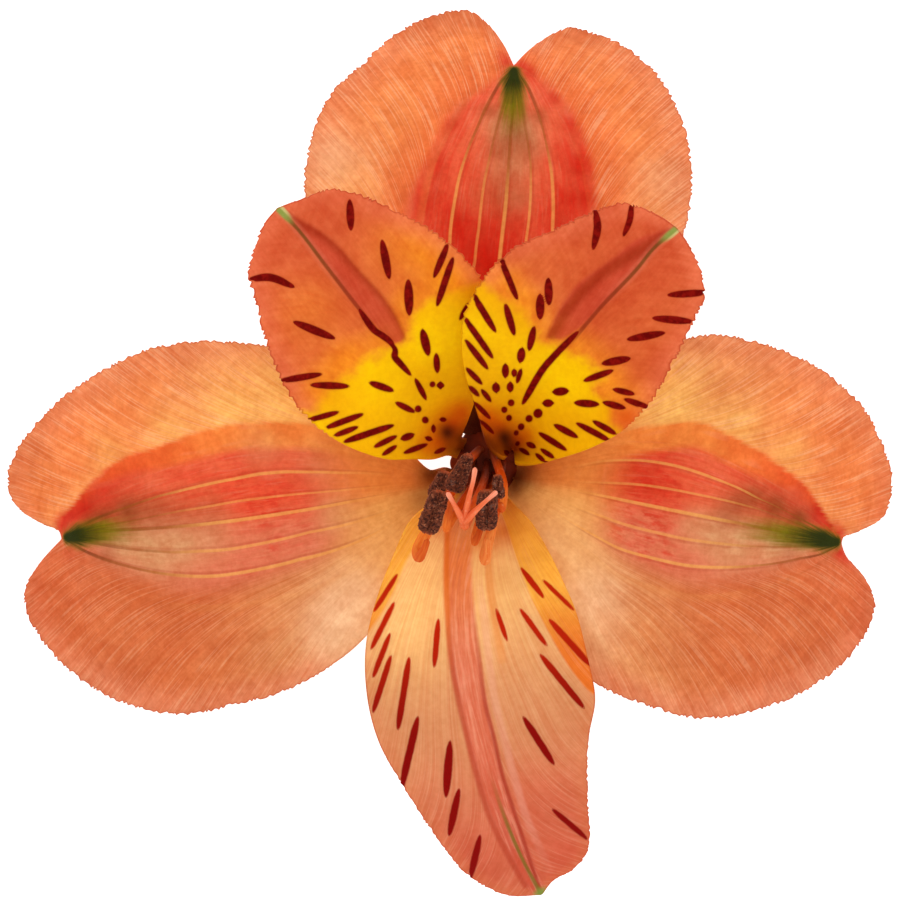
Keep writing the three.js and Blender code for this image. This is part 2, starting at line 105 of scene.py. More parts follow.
class Finish:
    """One material, laid on step by step."""

    def __init__(self, name):
        self.material = bpy.data.materials.new(name)
        self.material.use_nodes = True
        self.nodes = self.material.node_tree.nodes
        self.links = self.material.node_tree.links
        self.nodes.clear()

    def put(self, socket, value):
        if isinstance(value, bpy.types.NodeSocket):
            self.links.new(value, socket)
        elif value is not None:
            socket.default_value = value

    def node(self, kind, inputs, **settings):
        """A node with its settings, and with values or links for the inputs by name or number."""
        node = self.nodes.new("ShaderNode" + kind)
        for key, value in settings.items():
            setattr(node, key, value)
        for key, value in inputs.items():
            self.put(node.inputs[key], value)
        return node

    def measure(self, name):
        """A number that the piece's mesh carries."""
        return self.node("Attribute", {}, attribute_name=name).outputs["Fac"]

    def track(self, name):
        """A direction field that the piece's mesh carries."""
        return self.node("Attribute", {}, attribute_name=name).outputs["Vector"]

    def place(self):
        return self.node("TexCoord", {}).outputs["Object"]

    def work(self, operation, first, second=None):
        return self.node("Math", {0: first, 1: second}, operation=operation).outputs[0]

    def times(self, first, second):
        return self.work("MULTIPLY", first, second)

    def plus(self, first, second):
        return self.work("ADD", first, second)

    def size_of(self, value):
        return self.work("ABSOLUTE", value)

    def ragged(self, value, grain, amount):
        """The value, pushed up and down by a grain."""
        return self.plus(value, self.times(self.plus(grain, -0.5), amount))

    def step(self, value, low, high, bottom=0.0, top=1.0):
        """From bottom to top as value goes softly from low to high."""
        inputs = dict(enumerate((value, low, high, bottom, top)))
        return self.node("MapRange", inputs, interpolation_type="SMOOTHSTEP").outputs[0]

    def noise(self, vector, scale, detail=2.0, roughness=0.55):
        inputs = {"Vector": vector, "Scale": scale, "Detail": detail, "Roughness": roughness}
        return self.node("TexNoise", inputs).outputs["Fac"]

    def lanes(self, track, across, along, detail=2.0, roughness=0.55):
        """A grain drawn out along a direction field."""
        drawn = self.node("Mapping", {"Vector": track, "Scale": (across, along, 1.0)}).outputs[0]
        return self.noise(drawn, 1.0, detail, roughness)

    def mix(self, share, first, second, way="MIX"):
        inputs = {0: share, 6: first, 7: second}
        return self.node("Mix", inputs, data_type="RGBA", blend_type=way).outputs[2]

    def blend(self, first, second, share):
        """From one paint to another."""
        return self.mix(share, paint(first), paint(second))

    def coats(self, colour, *layers):
        """The colour under coats of paint, each as (share covered, screen code) or (share, code,
        how much of that share). A share may be the name of a number that the mesh carries."""
        for share, code, *thinned in layers:
            if isinstance(share, str):
                share = self.measure(share)
            if thinned:
                share = self.times(share, thinned[0])
            colour = self.mix(share, colour, paint(code))
        return colour

    def shaded(self, colour, *grains):
        """The colour with darker and lighter grains, each tone as shares of red, green and blue."""
        for grain, dark, light in grains:
            tint = self.mix(self.step(grain, 0.3, 0.7), (*dark, 1.0), (*light, 1.0))
            colour = self.mix(1.0, colour, tint, "MULTIPLY")
        return colour

    def relief(self, height, depth):
        """Bumps of that depth in millimetres."""
        inputs = {"Strength": 1.0, "Distance": depth * MM, "Height": height}
        return self.node("Bump", inputs).outputs[0]

    def close(self, colour, roughness, normal=None, gloss=0.3, glow=0.0):
        """The surface itself. glow is the share of the light that comes through it."""
        inputs = {"Base Color": colour, "Roughness": roughness, "Normal": normal}
        inputs["Specular IOR Level"] = gloss
        shown = self.node("BsdfPrincipled", inputs).outputs[0]
        if glow > 0:
            through = self.node("BsdfTranslucent", {"Color": colour}).outputs[0]
            shown = self.node("MixShader", {0: glow, 1: shown, 2: through}).outputs[0]
        self.node("OutputMaterial", {"Surface": shown})
        return self.material


# The surface's and the lamps' places and sizes are in metres, the lamps' powers in watts.
SURFACE_HALF_WIDTH = 0.6
SURFACE_GLOW = 0.8
SKY_STRENGTH = 0.9
LAMPS = {
    "key lamp": {"place": (-0.2, 0.3, 0.5), "size": 0.3, "power": 0.88},
    "side lamp": {"place": (0.42, 0.05, 0.4), "size": 0.35, "power": 0.36},
    "front lamp": {"place": (0.08, -0.42, 0.42), "size": 0.4, "power": 0.42},
}


def light_table():
    """A white surface that glows a little, so that it stays white under the petals."""
    table = Finish("white table")
    white = table.blend("D8D8D6", "DCDCDC", table.noise(table.place(), 30.0))
    material = table.close(white, 0.6, gloss=0.2)
    surface = material.node_tree.nodes["Principled BSDF"]
    surface.inputs["Emission Color"].default_value = paint("FFFFFF")
    surface.inputs["Emission Strength"].default_value = SURFACE_GLOW
    return material


def add_surface():
    half = SURFACE_HALF_WIDTH
    mesh = bpy.data.meshes.new("surface")
    corners = [(-half, -half, 0), (half, -half, 0), (half, half, 0), (-half, half, 0)]
    mesh.from_pydata(corners, [], [(0, 1, 2, 3)])
    mesh.materials.append(light_table())
    linked("surface", mesh)


def light_up():
    world = bpy.data.worlds.new("soft room")
    world.use_nodes = True
    sky = world.node_tree.nodes["Background"]
    sky.inputs["Color"].default_value = (1.0, 1.0, 1.0, 1.0)
    sky.inputs["Strength"].default_value = SKY_STRENGTH
    bpy.context.scene.world = world
    for name, lamp in LAMPS.items():
        add_lamp(name, **lamp)
    bpy.context.scene.view_settings.view_transform = "Standard"


# ------------------------------------------------------------------ the six tepals
THROAT = (487.0, 463.0)    # the ovary's middle, on the sheet
CLAW_FOOT = 8.9            # height of a claw's foot
CLAW_WIDTH = 1.4
SIDE_DROOP = 0.75          # how much less a blade falls away sideways than ahead
CLAW_CUPPING = 0.18        # rise of a claw's edges, per square millimetre off the midrib
CUPPING_REACH = 4.0        # distance over which the cupping fades
EDGE_WAVES = 5.4           # waves along each edge
BEND = 2.4                 # softness of the bend where a blade meets the surface

# ring_angle is where the claw stands on the ovary, in degrees from +X. The left and right edges
# run from claw to tip, as seen from the claw. profile gives the blade's height at each distance
# from the claw's foot, and lift raises or lowers the left and right edges so that neighbours pass
# over each other. low_side says which side of an outer tepal faces down on the sheet, 1 for the
# left and -1 for the right. wedge_reach and wedge_slant stretch and lean the green wedge at the
# tip. behind names the tepals that show through.

TEPALS = {
    "outer_tepal_left": {
        "ring_angle": 210,
        "low_side": 1,
        "wedge_slant": 0.05,
        "left": [
            (457, 500), (434, 524), (408, 560), (392, 597), (367, 635), (330, 667), (285, 692),
            (235, 706), (182, 716), (130, 707), (85, 686), (45, 650), (23, 612), (22, 590),
            (35, 567), (54, 546),
        ],
        "right": [
            (446, 468), (431, 470), (417, 459), (398, 430), (365, 393), (318, 360), (266, 345),
            (205, 340), (150, 347), (100, 370), (52, 404), (14, 448), (4, 478), (12, 505),
            (36, 522), (57, 530),
        ],
        "midrib": [
            (415, 488), (351, 500), (309, 508), (219, 522), (163, 526), (101, 530), (61, 539),
        ],
        "profile": [
            (0, CLAW_FOOT), (1.2, 11.2), (3, 13), (6, 14.2), (10, 14.8), (15, 14.4), (20, 12.6),
            (25, 9.3), (29, 5.1), (31.5, 1.3), (33, -1.2), (37, -5),
        ],
    },
    "outer_tepal_right": {
        "ring_angle": 330,
        "low_side": -1,
        "wedge_slant": -0.03,
        "wedge_reach": 1.35,
        "left": [
            (518, 462), (533, 447), (556, 427), (590, 395), (632, 358), (684, 338), (722, 334),
            (775, 346), (825, 370), (868, 410), (890, 455), (896, 482), (887, 516), (864, 530),
            (846, 535),
        ],
        "right": [
            (504, 495), (510, 526), (523, 565), (545, 612), (570, 652), (593, 682), (640, 704),
            (700, 720), (760, 711), (815, 688), (858, 652), (878, 607), (868, 580), (847, 556),
        ],
        "midrib": [(560, 487), (595, 494), (667, 509), (748, 525), (796, 534), (842, 543)],
        "profile": [
            (0, CLAW_FOOT), (1.2, 11.2), (3, 13), (6, 14.2), (9, 14.7), (13, 14.2), (17, 12.3),
            (21, 9.1), (24.2, 5), (26.6, 1.5), (27.9, -1.2), (32, -5),
        ],
    },
    "outer_tepal_top": {
        "ring_angle": 90,
        "wedge_reach": 0.9,
        "left": [
            (470, 434), (461, 430), (451, 397), (425, 360), (380, 322), (340, 278), (314, 232),
            (303, 185), (309, 142), (326, 98), (365, 58), (402, 26), (440, 10), (466, 7), (485, 18),
            (503, 42),
        ],
        "right": [
            (497, 420), (512, 396), (545, 364), (592, 330), (640, 292), (674, 255), (690, 215),
            (693, 168), (683, 118), (660, 74), (628, 45), (596, 30), (568, 25), (544, 37),
            (525, 53),
        ],
        "midrib": [(493, 340), (500, 255), (506, 200), (512, 130), (514, 65)],
        "profile": [
            (0, CLAW_FOOT), (1.2, 11.4), (3, 13.4), (6, 14.9), (10, 15.6), (14, 15.2), (19, 13.4),
            (24, 9.8), (27.8, 5), (29.6, 2), (30.8, -1.2), (35, -5),
        ],
    },
    "inner_tepal_upper_left": {
        "ring_angle": 150,
        "left": [
            (450, 455), (435, 459), (415, 459), (388, 459), (350, 447), (318, 428), (293, 403),
            (276, 370), (264, 338), (256, 305), (248, 275), (254, 248), (264, 226),
        ],
        "right": [
            (460, 437), (463, 430), (468, 419), (474, 403), (481, 378), (488, 345), (491, 312),
            (483, 280), (462, 254), (432, 230), (398, 211), (362, 195), (332, 189), (304, 199),
        ],
        "midrib": [(425, 398), (392, 350), (360, 310), (326, 266), (300, 232), (278, 209)],
        "profile": [
            (0, CLAW_FOOT), (0.8, 11.8), (2, 14.8), (4, 17.8), (7, 20.6), (11, 23.2), (15, 25.4),
            (19, 27), (23.3, 27.9), (26, 28.2),
        ],
        "lift": (0, -0.3),
    },
    "inner_tepal_upper_right": {
        "ring_angle": 30,
        "left": [
            (506, 458), (496, 454), (488, 444), (480, 420), (473, 399), (465, 374), (461, 342),
            (465, 308), (482, 278), (508, 251), (545, 233), (580, 217), (618, 203), (650, 212),
        ],
        "right": [
            (515, 462), (530, 464), (555, 459), (592, 447), (626, 428), (653, 400), (674, 363),
            (690, 330), (704, 297), (700, 268), (688, 246),
        ],
        "midrib": [(538, 395), (562, 355), (598, 310), (635, 271), (653, 249), (676, 229)],
        "profile": [
            (0, CLAW_FOOT), (0.8, 11.8), (2, 15), (4, 18.2), (7, 21.2), (11, 24.1), (15, 26.4),
            (18, 27.7), (21.2, 28.6), (24, 28.9),
        ],
        "lift": (0.4, 0),
    },
    "inner_tepal_lower": {
        "ring_angle": 270,
        "left": [
            (503, 493), (514, 504), (530, 521), (546, 547), (562, 579), (576, 612), (587, 655),
            (595, 698), (589, 737), (588, 790), (589, 848), (576, 868), (553, 881),
        ],
        "right": [
            (465, 487), (449, 498), (429, 505), (411, 520), (396, 550), (377, 598), (366, 645),
            (367, 695), (379, 742), (402, 785), (432, 832), (465, 873), (504, 895),
        ],
        "midrib": [
            (472, 545), (462, 590), (464, 641), (474, 708), (484, 748), (495, 788), (510, 830),
            (526, 865), (542, 895),
        ],
        "profile": [
            (0, CLAW_FOOT), (0.8, 11.4), (2.4, 14.4), (5, 16.6), (9, 18.2), (14, 18.8), (19, 18.2),
            (24, 16.4), (28, 14), (31, 11.6), (34, 9),
        ],
        "behind": ["outer_tepal_right", "outer_tepal_left"],
    },
}

# Veins of the outer tepals from their right edge to their left, the midrib among them, as sheet
# places and how strongly each shows.
VEINS = {
    "outer_tepal_left": [
        ([(350, 452), (310, 445), (280, 443), (240, 448), (200, 457), (160, 470), (90, 503)], 0.05),
        (
            [
                (380, 474), (340, 473), (310, 472), (285, 472), (260, 474), (235, 479), (185, 490),
                (160, 496), (120, 510), (85, 525),
            ],
            1.0,
        ),
        ([(380, 487), (340, 491), (300, 494), (240, 501), (180, 511), (120, 523)], 0.65),
        ([(410, 490), (351, 501), (309, 509), (219, 522), (163, 527), (101, 531)], 1.0),
        (
            [
                (400, 507), (360, 521), (310, 532), (260, 544), (230, 549), (200, 551), (170, 552),
                (140, 550), (110, 546), (85, 541),
            ],
            0.8,
        ),
        (
            [
                (390, 525), (350, 545), (300, 559), (255, 570), (230, 574), (205, 576), (180, 575),
                (150, 571), (125, 565), (100, 557), (80, 548),
            ],
            1.0,
        ),
        ([(345, 573), (310, 590), (280, 598), (250, 602), (190, 605), (150, 600), (95, 575)], 0.1),
    ],
    "outer_tepal_right": [
        ([(580, 545), (650, 585), (700, 595), (760, 588), (820, 562)], 0.12),
        ([(575, 525), (640, 555), (720, 567), (800, 558), (835, 548)], 1.0),
        ([(560, 500), (620, 523), (700, 541), (800, 546)], 0.7),
        ([(560, 487), (595, 494), (667, 509), (748, 525), (796, 534)], 1.0),
        ([(580, 482), (640, 485), (700, 495), (780, 516)], 0.7),
        ([(580, 465), (600, 461), (640, 460), (680, 467), (720, 481), (760, 500), (800, 520)], 1.0),
        ([(590, 448), (640, 441), (700, 446), (750, 468), (790, 495)], 0.05),
    ],
    "outer_tepal_top": [
        ([(590, 240), (588, 200), (580, 160), (560, 115)], 0.05),
        ([(550, 260), (552, 225), (551, 175), (546, 145), (540, 120)], 0.9),
        ([(523, 270), (526, 240), (529, 220), (531, 165), (524, 120)], 0.8),
        ([(493, 340), (500, 255), (506, 200), (511, 130), (514, 75)], 1.0),
        ([(470, 290), (475, 262), (479, 230), (485, 180), (494, 140)], 0.7),
        ([(444, 275), (450, 243), (456, 195), (462, 168), (470, 145), (478, 128)], 1.0),
        ([(418, 250), (424, 220), (434, 170), (455, 125)], 0.2),
    ],
}

# Other lines on the tepals, as sheet places: the dark line beside an upper tepal's midrib and the
# lines down the lower tepal's channel.
LINES = {
    "inner_tepal_upper_left": {
        "side_line": [(276, 206), (330, 240), (360, 270), (385, 298), (402, 322), (409, 342)],
    },
    "inner_tepal_upper_right": {
        "side_line": [(676, 228), (640, 250), (600, 275), (570, 305), (550, 335), (541, 348)],
    },
    "inner_tepal_lower": {
        "left_line": [
            (446, 530), (446, 600), (451, 660), (458, 700), (470, 750), (487, 810), (505, 850),
            (525, 885),
        ],
        "right_line": [
            (466, 545), (472, 600), (480, 660), (485, 700), (495, 740), (503, 775), (516, 815),
            (541, 893),
        ],
        "gold_line": [(487, 545), (492, 600), (502, 660)],
        "pale_line": [
            (474, 560), (482, 600), (489, 660), (495, 700), (505, 740), (514, 775), (526, 815),
            (545, 860), (552, 880),
        ],
    },
}

# Closed fields on the tepals, as sheet places.
FIELDS = {
    "outer_tepal_left": {
        "panel": [
            (440, 470), (400, 446), (350, 430), (306, 423), (261, 421), (230, 424), (196, 432),
            (157, 446), (126, 456), (98, 475), (76, 500), (60, 520), (54, 538), (65, 546),
            (84, 564), (112, 581), (146, 593), (182, 603), (224, 602), (252, 595), (280, 586),
            (330, 566), (390, 530), (440, 500),
        ],
    },
    "outer_tepal_right": {
        "panel": [
            (535, 470), (575, 446), (620, 431), (660, 424), (700, 422), (740, 440), (780, 465),
            (802, 481), (820, 505), (835, 528), (848, 543), (820, 563), (788, 578), (760, 588),
            (700, 595), (650, 585), (610, 563), (580, 545), (535, 505),
        ],
    },
    "outer_tepal_top": {
        "panel": [
            (470, 380), (430, 320), (406, 260), (405, 212), (415, 182), (426, 160), (436, 140),
            (445, 120), (462, 102), (480, 90), (503, 71), (514, 58), (527, 68), (545, 80),
            (560, 95), (575, 115), (586, 140), (593, 160), (596, 190), (597, 212), (584, 270),
            (550, 330), (510, 380),
        ],
    },
    "inner_tepal_upper_left": {
        "blotch": [
            (500, 280), (470, 284), (455, 291), (440, 297), (425, 306), (414, 318), (410, 342),
            (388, 350), (372, 357), (362, 362), (358, 372), (345, 378), (330, 388), (322, 400),
            (315, 410), (298, 420), (310, 460), (380, 480), (450, 475), (500, 430),
        ],
        "band": [
            (276, 205), (330, 238), (360, 270), (385, 298), (400, 323), (405, 340), (390, 341),
            (372, 323), (345, 293), (326, 266), (311, 247), (296, 226),
        ],
    },
    "inner_tepal_upper_right": {
        "blotch": [
            (450, 282), (480, 284), (505, 300), (520, 310), (530, 322), (542, 340), (560, 346),
            (590, 364), (600, 375), (592, 390), (605, 402), (612, 420), (628, 440), (590, 475),
            (520, 480), (470, 430), (445, 360),
        ],
        "band": [
            (676, 226), (635, 240), (616, 255), (598, 268), (579, 282), (561, 305), (552, 322),
            (547, 337), (562, 338), (579, 328), (598, 310), (616, 294), (635, 271), (653, 249),
        ],
    },
    "inner_tepal_lower": {
        "band": [
            (443, 505), (443, 590), (447, 641), (453, 681), (460, 708), (468, 748), (479, 788),
            (495, 825), (511, 860), (534, 894), (545, 894), (530, 850), (514, 805), (504, 775),
            (496, 737), (487, 694), (479, 641), (472, 568), (468, 510),
        ],
        "strip": [
            (500, 508), (508, 530), (518, 562), (530, 595), (545, 625), (562, 655), (578, 678),
            (594, 694), (620, 700), (605, 600), (565, 520), (520, 490),
        ],
    },
}

# Soft patches: a place on the sheet, a radius in divisions and an amount. The dark patches on the
# outer tepals' claws by the throat are painted shade.
PATCHES = {
    "outer_tepal_left": {
        "gold": [
            (300, 395, 55, 0.85), (288, 414, 26, 0.5), (235, 412, 34, 0.7), (170, 430, 24, 0.5),
            (110, 450, 20, 0.3),
        ],
        "cream": [
            (368, 600, 34, 1.0), (358, 622, 30, 1.0), (335, 632, 32, 0.5), (385, 540, 26, 0.15),
        ],
        "smudge": [(430, 475, 13, 0.7), (424, 500, 14, 0.35)],
        "scarlet": [
            (250, 458, 24, 0.4), (262, 483, 24, 0.9), (300, 483, 22, 0.7), (232, 488, 16, 0.6),
            (262, 506, 20, 0.9), (295, 502, 18, 0.6), (195, 492, 16, 0.3), (275, 546, 14, 0.45),
            (308, 532, 14, 0.35), (245, 573, 14, 0.4),
        ],
        "lip": [(60, 522, 7, 0.8), (66, 517, 7, 0.6), (70, 553, 7, 0.25)],
        "crimson": [
            (84, 507, 15, 1.0), (72, 514, 12, 0.8), (104, 494, 18, 0.7), (130, 478, 20, 0.3),
            (62, 527, 8, 0.6),
        ],
        "tan": [
            (340, 512, 24, 0.8), (320, 464, 26, 0.45), (262, 450, 24, 0.4), (150, 546, 26, 1.0),
            (182, 545, 24, 0.9), (124, 547, 16, 0.9), (214, 536, 20, 0.5), (160, 562, 16, 0.5),
        ],
        "brown": [
            (128, 512, 15, 0.9), (152, 511, 18, 0.5), (180, 513, 20, 0.3), (212, 512, 18, 0.3),
            (104, 518, 12, 0.8), (92, 523, 10, 0.6), (106, 558, 12, 0.4),
        ],
    },
    "outer_tepal_right": {
        "gold": [
            (665, 408, 42, 1.0), (630, 388, 40, 1.0), (735, 425, 28, 0.6), (790, 452, 22, 0.4),
        ],
        "smudge": [(518, 474, 13, 0.75), (512, 490, 10, 0.3), (534, 476, 14, 0.25)],
        "cream": [(580, 600, 36, 0.7), (552, 545, 36, 0.5), (600, 650, 24, 0.15)],
        "scarlet": [
            (640, 474, 28, 1.0), (602, 474, 20, 0.9), (655, 490, 24, 1.0), (628, 492, 18, 0.8),
            (664, 506, 20, 0.7), (620, 516, 20, 0.7), (652, 522, 18, 0.6), (604, 516, 22, 1.0),
            (645, 545, 16, 0.7), (665, 556, 14, 0.5), (640, 448, 16, 0.4),
        ],
        "lip": [
            (840, 533, 6, 0.9), (836, 527, 7, 0.6), (840, 553, 7, 1.0), (846, 559, 6, 0.7),
            (853, 567, 6, 0.3),
        ],
        "crimson": [
            (820, 512, 14, 1.0), (832, 524, 10, 1.0), (800, 495, 16, 0.45), (782, 480, 18, 0.2),
            (842, 552, 8, 0.8), (642, 480, 20, 0.3), (655, 494, 14, 0.3),
        ],
        "tan": [
            (712, 532, 22, 0.9), (742, 541, 22, 1.0), (772, 547, 18, 1.0), (690, 524, 16, 0.5),
            (800, 550, 12, 0.7), (725, 556, 18, 0.5),
        ],
        "brown": [
            (775, 507, 14, 0.9), (752, 497, 14, 0.7), (798, 519, 12, 1.0), (735, 503, 14, 0.45),
            (725, 515, 14, 0.4), (790, 556, 10, 0.3),
        ],
    },
    "outer_tepal_top": {
        "gold": [(345, 190, 34, 0.25), (400, 115, 36, 0.08), (610, 250, 30, 0.25)],
        "cream": [(335, 160, 30, 0.3), (660, 180, 24, 0.2)],
        "smudge": [(484, 412, 40, 1.0)],
        "scarlet": [
            (480, 255, 30, 1.0), (455, 232, 24, 1.0), (520, 235, 22, 0.7), (560, 205, 22, 0.8),
            (440, 200, 18, 0.8), (462, 170, 18, 0.5), (555, 150, 16, 0.5),
        ],
        "lip": [
            (506, 62, 7, 0.8), (502, 55, 6, 0.4), (523, 66, 7, 0.8), (530, 71, 7, 0.7),
            (516, 58, 5, 0.4),
        ],
        "crimson": [
            (456, 226, 24, 0.7), (506, 226, 24, 0.5), (564, 204, 20, 0.6), (434, 182, 14, 0.4),
            (492, 265, 26, 1.0), (476, 250, 20, 0.7), (582, 165, 20, 1.0), (574, 125, 14, 0.8),
            (588, 200, 16, 0.8), (555, 98, 10, 0.8), (535, 72, 7, 0.8), (500, 68, 6, 0.6),
            (434, 165, 14, 0.7), (452, 125, 12, 0.5), (425, 205, 12, 0.7), (560, 230, 18, 0.6),
        ],
        "tan": [
            (514, 130, 20, 0.8), (497, 130, 14, 0.5), (530, 135, 12, 0.5), (517, 165, 16, 0.5),
            (500, 170, 16, 0.3), (518, 200, 14, 0.3), (540, 150, 10, 0.3),
        ],
        "brown": [
            (504, 192, 28, 0.4), (516, 135, 18, 0.6), (500, 150, 14, 0.5), (528, 152, 12, 0.4),
            (512, 114, 14, 0.6), (488, 112, 8, 0.5), (540, 118, 8, 0.5),
        ],
    },
    "inner_tepal_upper_left": {
        "flush": [
            (345, 302, 20, 0.7), (325, 275, 20, 0.5), (330, 205, 30, 0.3), (376, 214, 18, 0.5),
        ],
        "amber": [
            (455, 276, 26, 1.0), (476, 283, 14, 0.8), (430, 250, 26, 0.6), (408, 300, 16, 0.4),
            (345, 362, 20, 0.6), (385, 335, 14, 0.5), (320, 395, 18, 0.5), (400, 250, 34, 0.3),
            (310, 310, 34, 0.2),
        ],
        # Paler yellow patches; the one at (460, 335) is painted light, lifting the shade beside the
        # right tepal's edge.
        "bright": [
            (372, 372, 30, 1.0), (430, 335, 26, 0.8), (375, 440, 24, 0.1), (320, 425, 16, 0.4),
            (460, 335, 28, 1.0), (400, 400, 30, 0.2),
        ],
        "rust": [
            (452, 427, 20, 1.0), (440, 442, 18, 0.8), (462, 411, 14, 0.8), (424, 446, 12, 0.5),
        ],
        "brown": [(446, 431, 9, 1.0), (447, 447, 10, 0.15), (462, 437, 6, 0.5)],
    },
    "inner_tepal_upper_right": {
        "flush": [
            (625, 310, 34, 0.4), (622, 290, 22, 0.7), (592, 330, 18, 0.7), (656, 352, 24, 0.5),
            (590, 300, 22, 0.5), (665, 265, 26, 0.5), (660, 225, 20, 0.6), (608, 222, 30, 0.6),
            (570, 245, 26, 0.4), (590, 275, 26, 0.3), (650, 380, 26, 0.6),
        ],
        "amber": [
            (478, 268, 18, 1.0), (500, 278, 20, 0.6), (525, 305, 16, 0.5), (640, 415, 24, 1.0),
            (610, 385, 14, 0.5), (575, 350, 12, 0.3),
        ],
        "bright": [
            (572, 375, 26, 1.0), (545, 365, 24, 0.6), (585, 430, 26, 0.1), (475, 330, 20, 0.6),
            (620, 435, 14, 0.6), (505, 345, 22, 0.4),
        ],
        "rust": [
            (496, 432, 22, 1.0), (514, 442, 14, 0.9), (485, 418, 14, 0.8), (526, 436, 12, 0.5),
            (626, 418, 16, 0.8),
        ],
        "brown": [(504, 436, 9, 1.0), (513, 443, 8, 0.2)],
    },
    "inner_tepal_lower": {
        # Reddish flush, mostly towards the tip; the patches at (555, 800) and (570, 735) are
        # painted shade in the folds.
        "flush": [
            (570, 865, 44, 1.0), (470, 868, 40, 0.9), (555, 800, 40, 0.5), (430, 800, 34, 0.15),
            (570, 735, 30, 0.1), (520, 790, 30, 0.3),
        ],
        "amber": [(480, 542, 14, 0.7), (503, 532, 16, 0.8), (438, 525, 12, 0.6)],
        "bright": [(412, 585, 46, 0.85), (505, 580, 34, 0.8), (400, 640, 40, 0.6)],
        "brown": [(470, 500, 14, 0.3)],
    },
}

# Maroon streaks and dots of the inner tepals: x and y of each place along one, and last its width.
STREAKS = {
    "inner_tepal_upper_left": [
        (350, 201, 351, 230, 6.5), (382, 241, 389, 278, 7), (408, 280, 409, 314, 8),
        (448, 244, 434, 277, 5.5), (453, 258, 437, 305, 5.5), (250, 280, 271, 278, 294, 287, 6.5),
        (294, 322, 334, 338, 7), (281, 381, 321, 374, 5.5), (311, 385, 348, 386, 6),
        (369, 382, 392, 390, 6), (307, 421, 338, 412, 4.5), (326, 428, 362, 414, 5),
        (334, 436, 357, 427, 4.5), (344, 442, 392, 425, 5.5), (374, 447, 395, 436, 4.5),
        (382, 455, 395, 446, 4), (400, 439, 412, 434, 6), (403, 453, 425, 444, 4.5),
        (424, 437, 430, 439, 4), (433, 453, 443, 448, 3.5),
        (359, 309, 366, 320, 374, 330, 382, 335, 390, 341, 394, 348, 6),
        (392, 343, 395, 350, 394, 356, 399, 362, 410, 374, 6), (422, 329, 428, 354, 7.5),
        (436, 353, 437, 371, 5.5), (415, 378, 425, 398, 5), (432, 383, 4.5),
        (440, 381, 440, 387, 6.5), (395, 402, 413, 411, 5), (417, 408, 5.5), (424, 419, 5.5),
        (432, 424, 432, 431, 3.5), (439, 418, 445, 418, 3.5), (469, 303, 460, 319, 4),
    ],
    "inner_tepal_upper_right": [
        (500, 258, 517, 299, 5), (594, 210, 597, 227, 593, 249, 6.5),
        (631, 203, 629, 221, 623, 236, 5), (472, 294, 495, 331, 5.5), (505, 304, 514, 334, 6),
        (548, 278, 549, 304, 7), (540, 294, 540, 318, 7.5), (534, 326, 529, 349, 6),
        (522, 347, 520, 361, 7), (464, 318, 492, 357, 5), (465, 340, 487, 368, 5),
        (466, 368, 481, 383, 4.5), (505, 363, 505, 376, 6), (514, 368, 514, 375, 4.5),
        (521, 368, 517, 381, 4), (495, 382, 496, 391, 7), (510, 381, 510, 390, 6),
        (578, 331, 554, 355, 542, 369, 523, 402, 5.5), (554, 391, 569, 390, 7),
        (544, 402, 554, 402, 6.5), (539, 412, 8), (530, 417, 6), (522, 425, 5.5), (517, 431, 4),
        (511, 401, 5.5), (504, 408, 5), (509, 416, 5), (469, 386, 478, 395, 4),
        (481, 389, 490, 400, 4), (474, 402, 489, 417, 4), (480, 420, 492, 432, 3.5),
        (519, 442, 3.5), (529, 442, 537, 447, 4.5), (522, 448, 531, 455, 4),
        (541, 432, 567, 450, 5), (556, 424, 578, 437, 5.5), (578, 423, 610, 441, 5),
        (594, 421, 616, 434, 5), (543, 449, 555, 458, 4), (538, 454, 546, 462, 3.5),
        (503, 452, 508, 457, 3.5), (585, 380, 613, 370, 5.5), (603, 363, 630, 358, 7),
        (614, 389, 634, 394, 5), (576, 402, 599, 404, 6.5), (604, 402, 625, 408, 5.5),
        (625, 399, 649, 408, 5), (668, 295, 707, 293, 6), (653, 318, 692, 322, 6.5),
        (628, 339, 664, 333, 6.5),
    ],
    "inner_tepal_lower": [
        (397, 574, 374, 611, 4.5), (394, 602, 371, 649, 5), (390, 633, 373, 677, 5),
        (391, 655, 373, 712, 5.5), (409, 657, 398, 729, 6), (438, 619, 434, 667, 5.5),
        (418, 716, 401, 788, 7), (450, 740, 446, 796, 8), (459, 788, 449, 835, 7),
        (480, 834, 470, 879, 6.5), (496, 609, 507, 641, 4.5), (521, 568, 544, 598, 5.5),
        (543, 580, 574, 610, 4), (520, 609, 547, 646, 5), (549, 619, 590, 665, 6),
        (540, 654, 584, 708, 6), (523, 716, 554, 764, 6.5), (552, 808, 588, 839, 5),
    ],
}

# What the tepals of one kind share: the rows of the blade and the columns of each side, the radius
# of the ring that the claws stand on, the height of the edge's waves, the depth and width of the
# furrow along the midrib, where the teeth start and their share of the full depth, and the run of
# the fine grain: how strongly it bends, where the bend starts and the least share it counts from.
KINDS = {
    "outer": {
        "rows": 420,
        "columns": 32,
        "ring": 2.4,
        "wave": 0.45,
        "furrow": (0.1, 0.5),
        "teeth": (0.28, 1.0),
        "grain": (0.245, -0.113, 0.3),
    },
    "inner_tepal_upper": {
        "rows": 280,
        "columns": 58,
        "ring": 2.2,
        "wave": 0.25,
        "furrow": (0.22, 0.7),
        "teeth": (0.28, 1.0),
        "grain": (0.33, 0.15, 0.0),
    },
    "inner_tepal_lower": {
        "rows": 280,
        "columns": 58,
        "ring": 2.2,
        "wave": 0.25,
        "furrow": (0.3, 1.0),
        "teeth": (0.55, 0.55),
        "grain": (1.58, 0.426, 0.0),
    },
}
RIM_SHARE = 0.988          # the last column but one, so that only the rim itself turns over
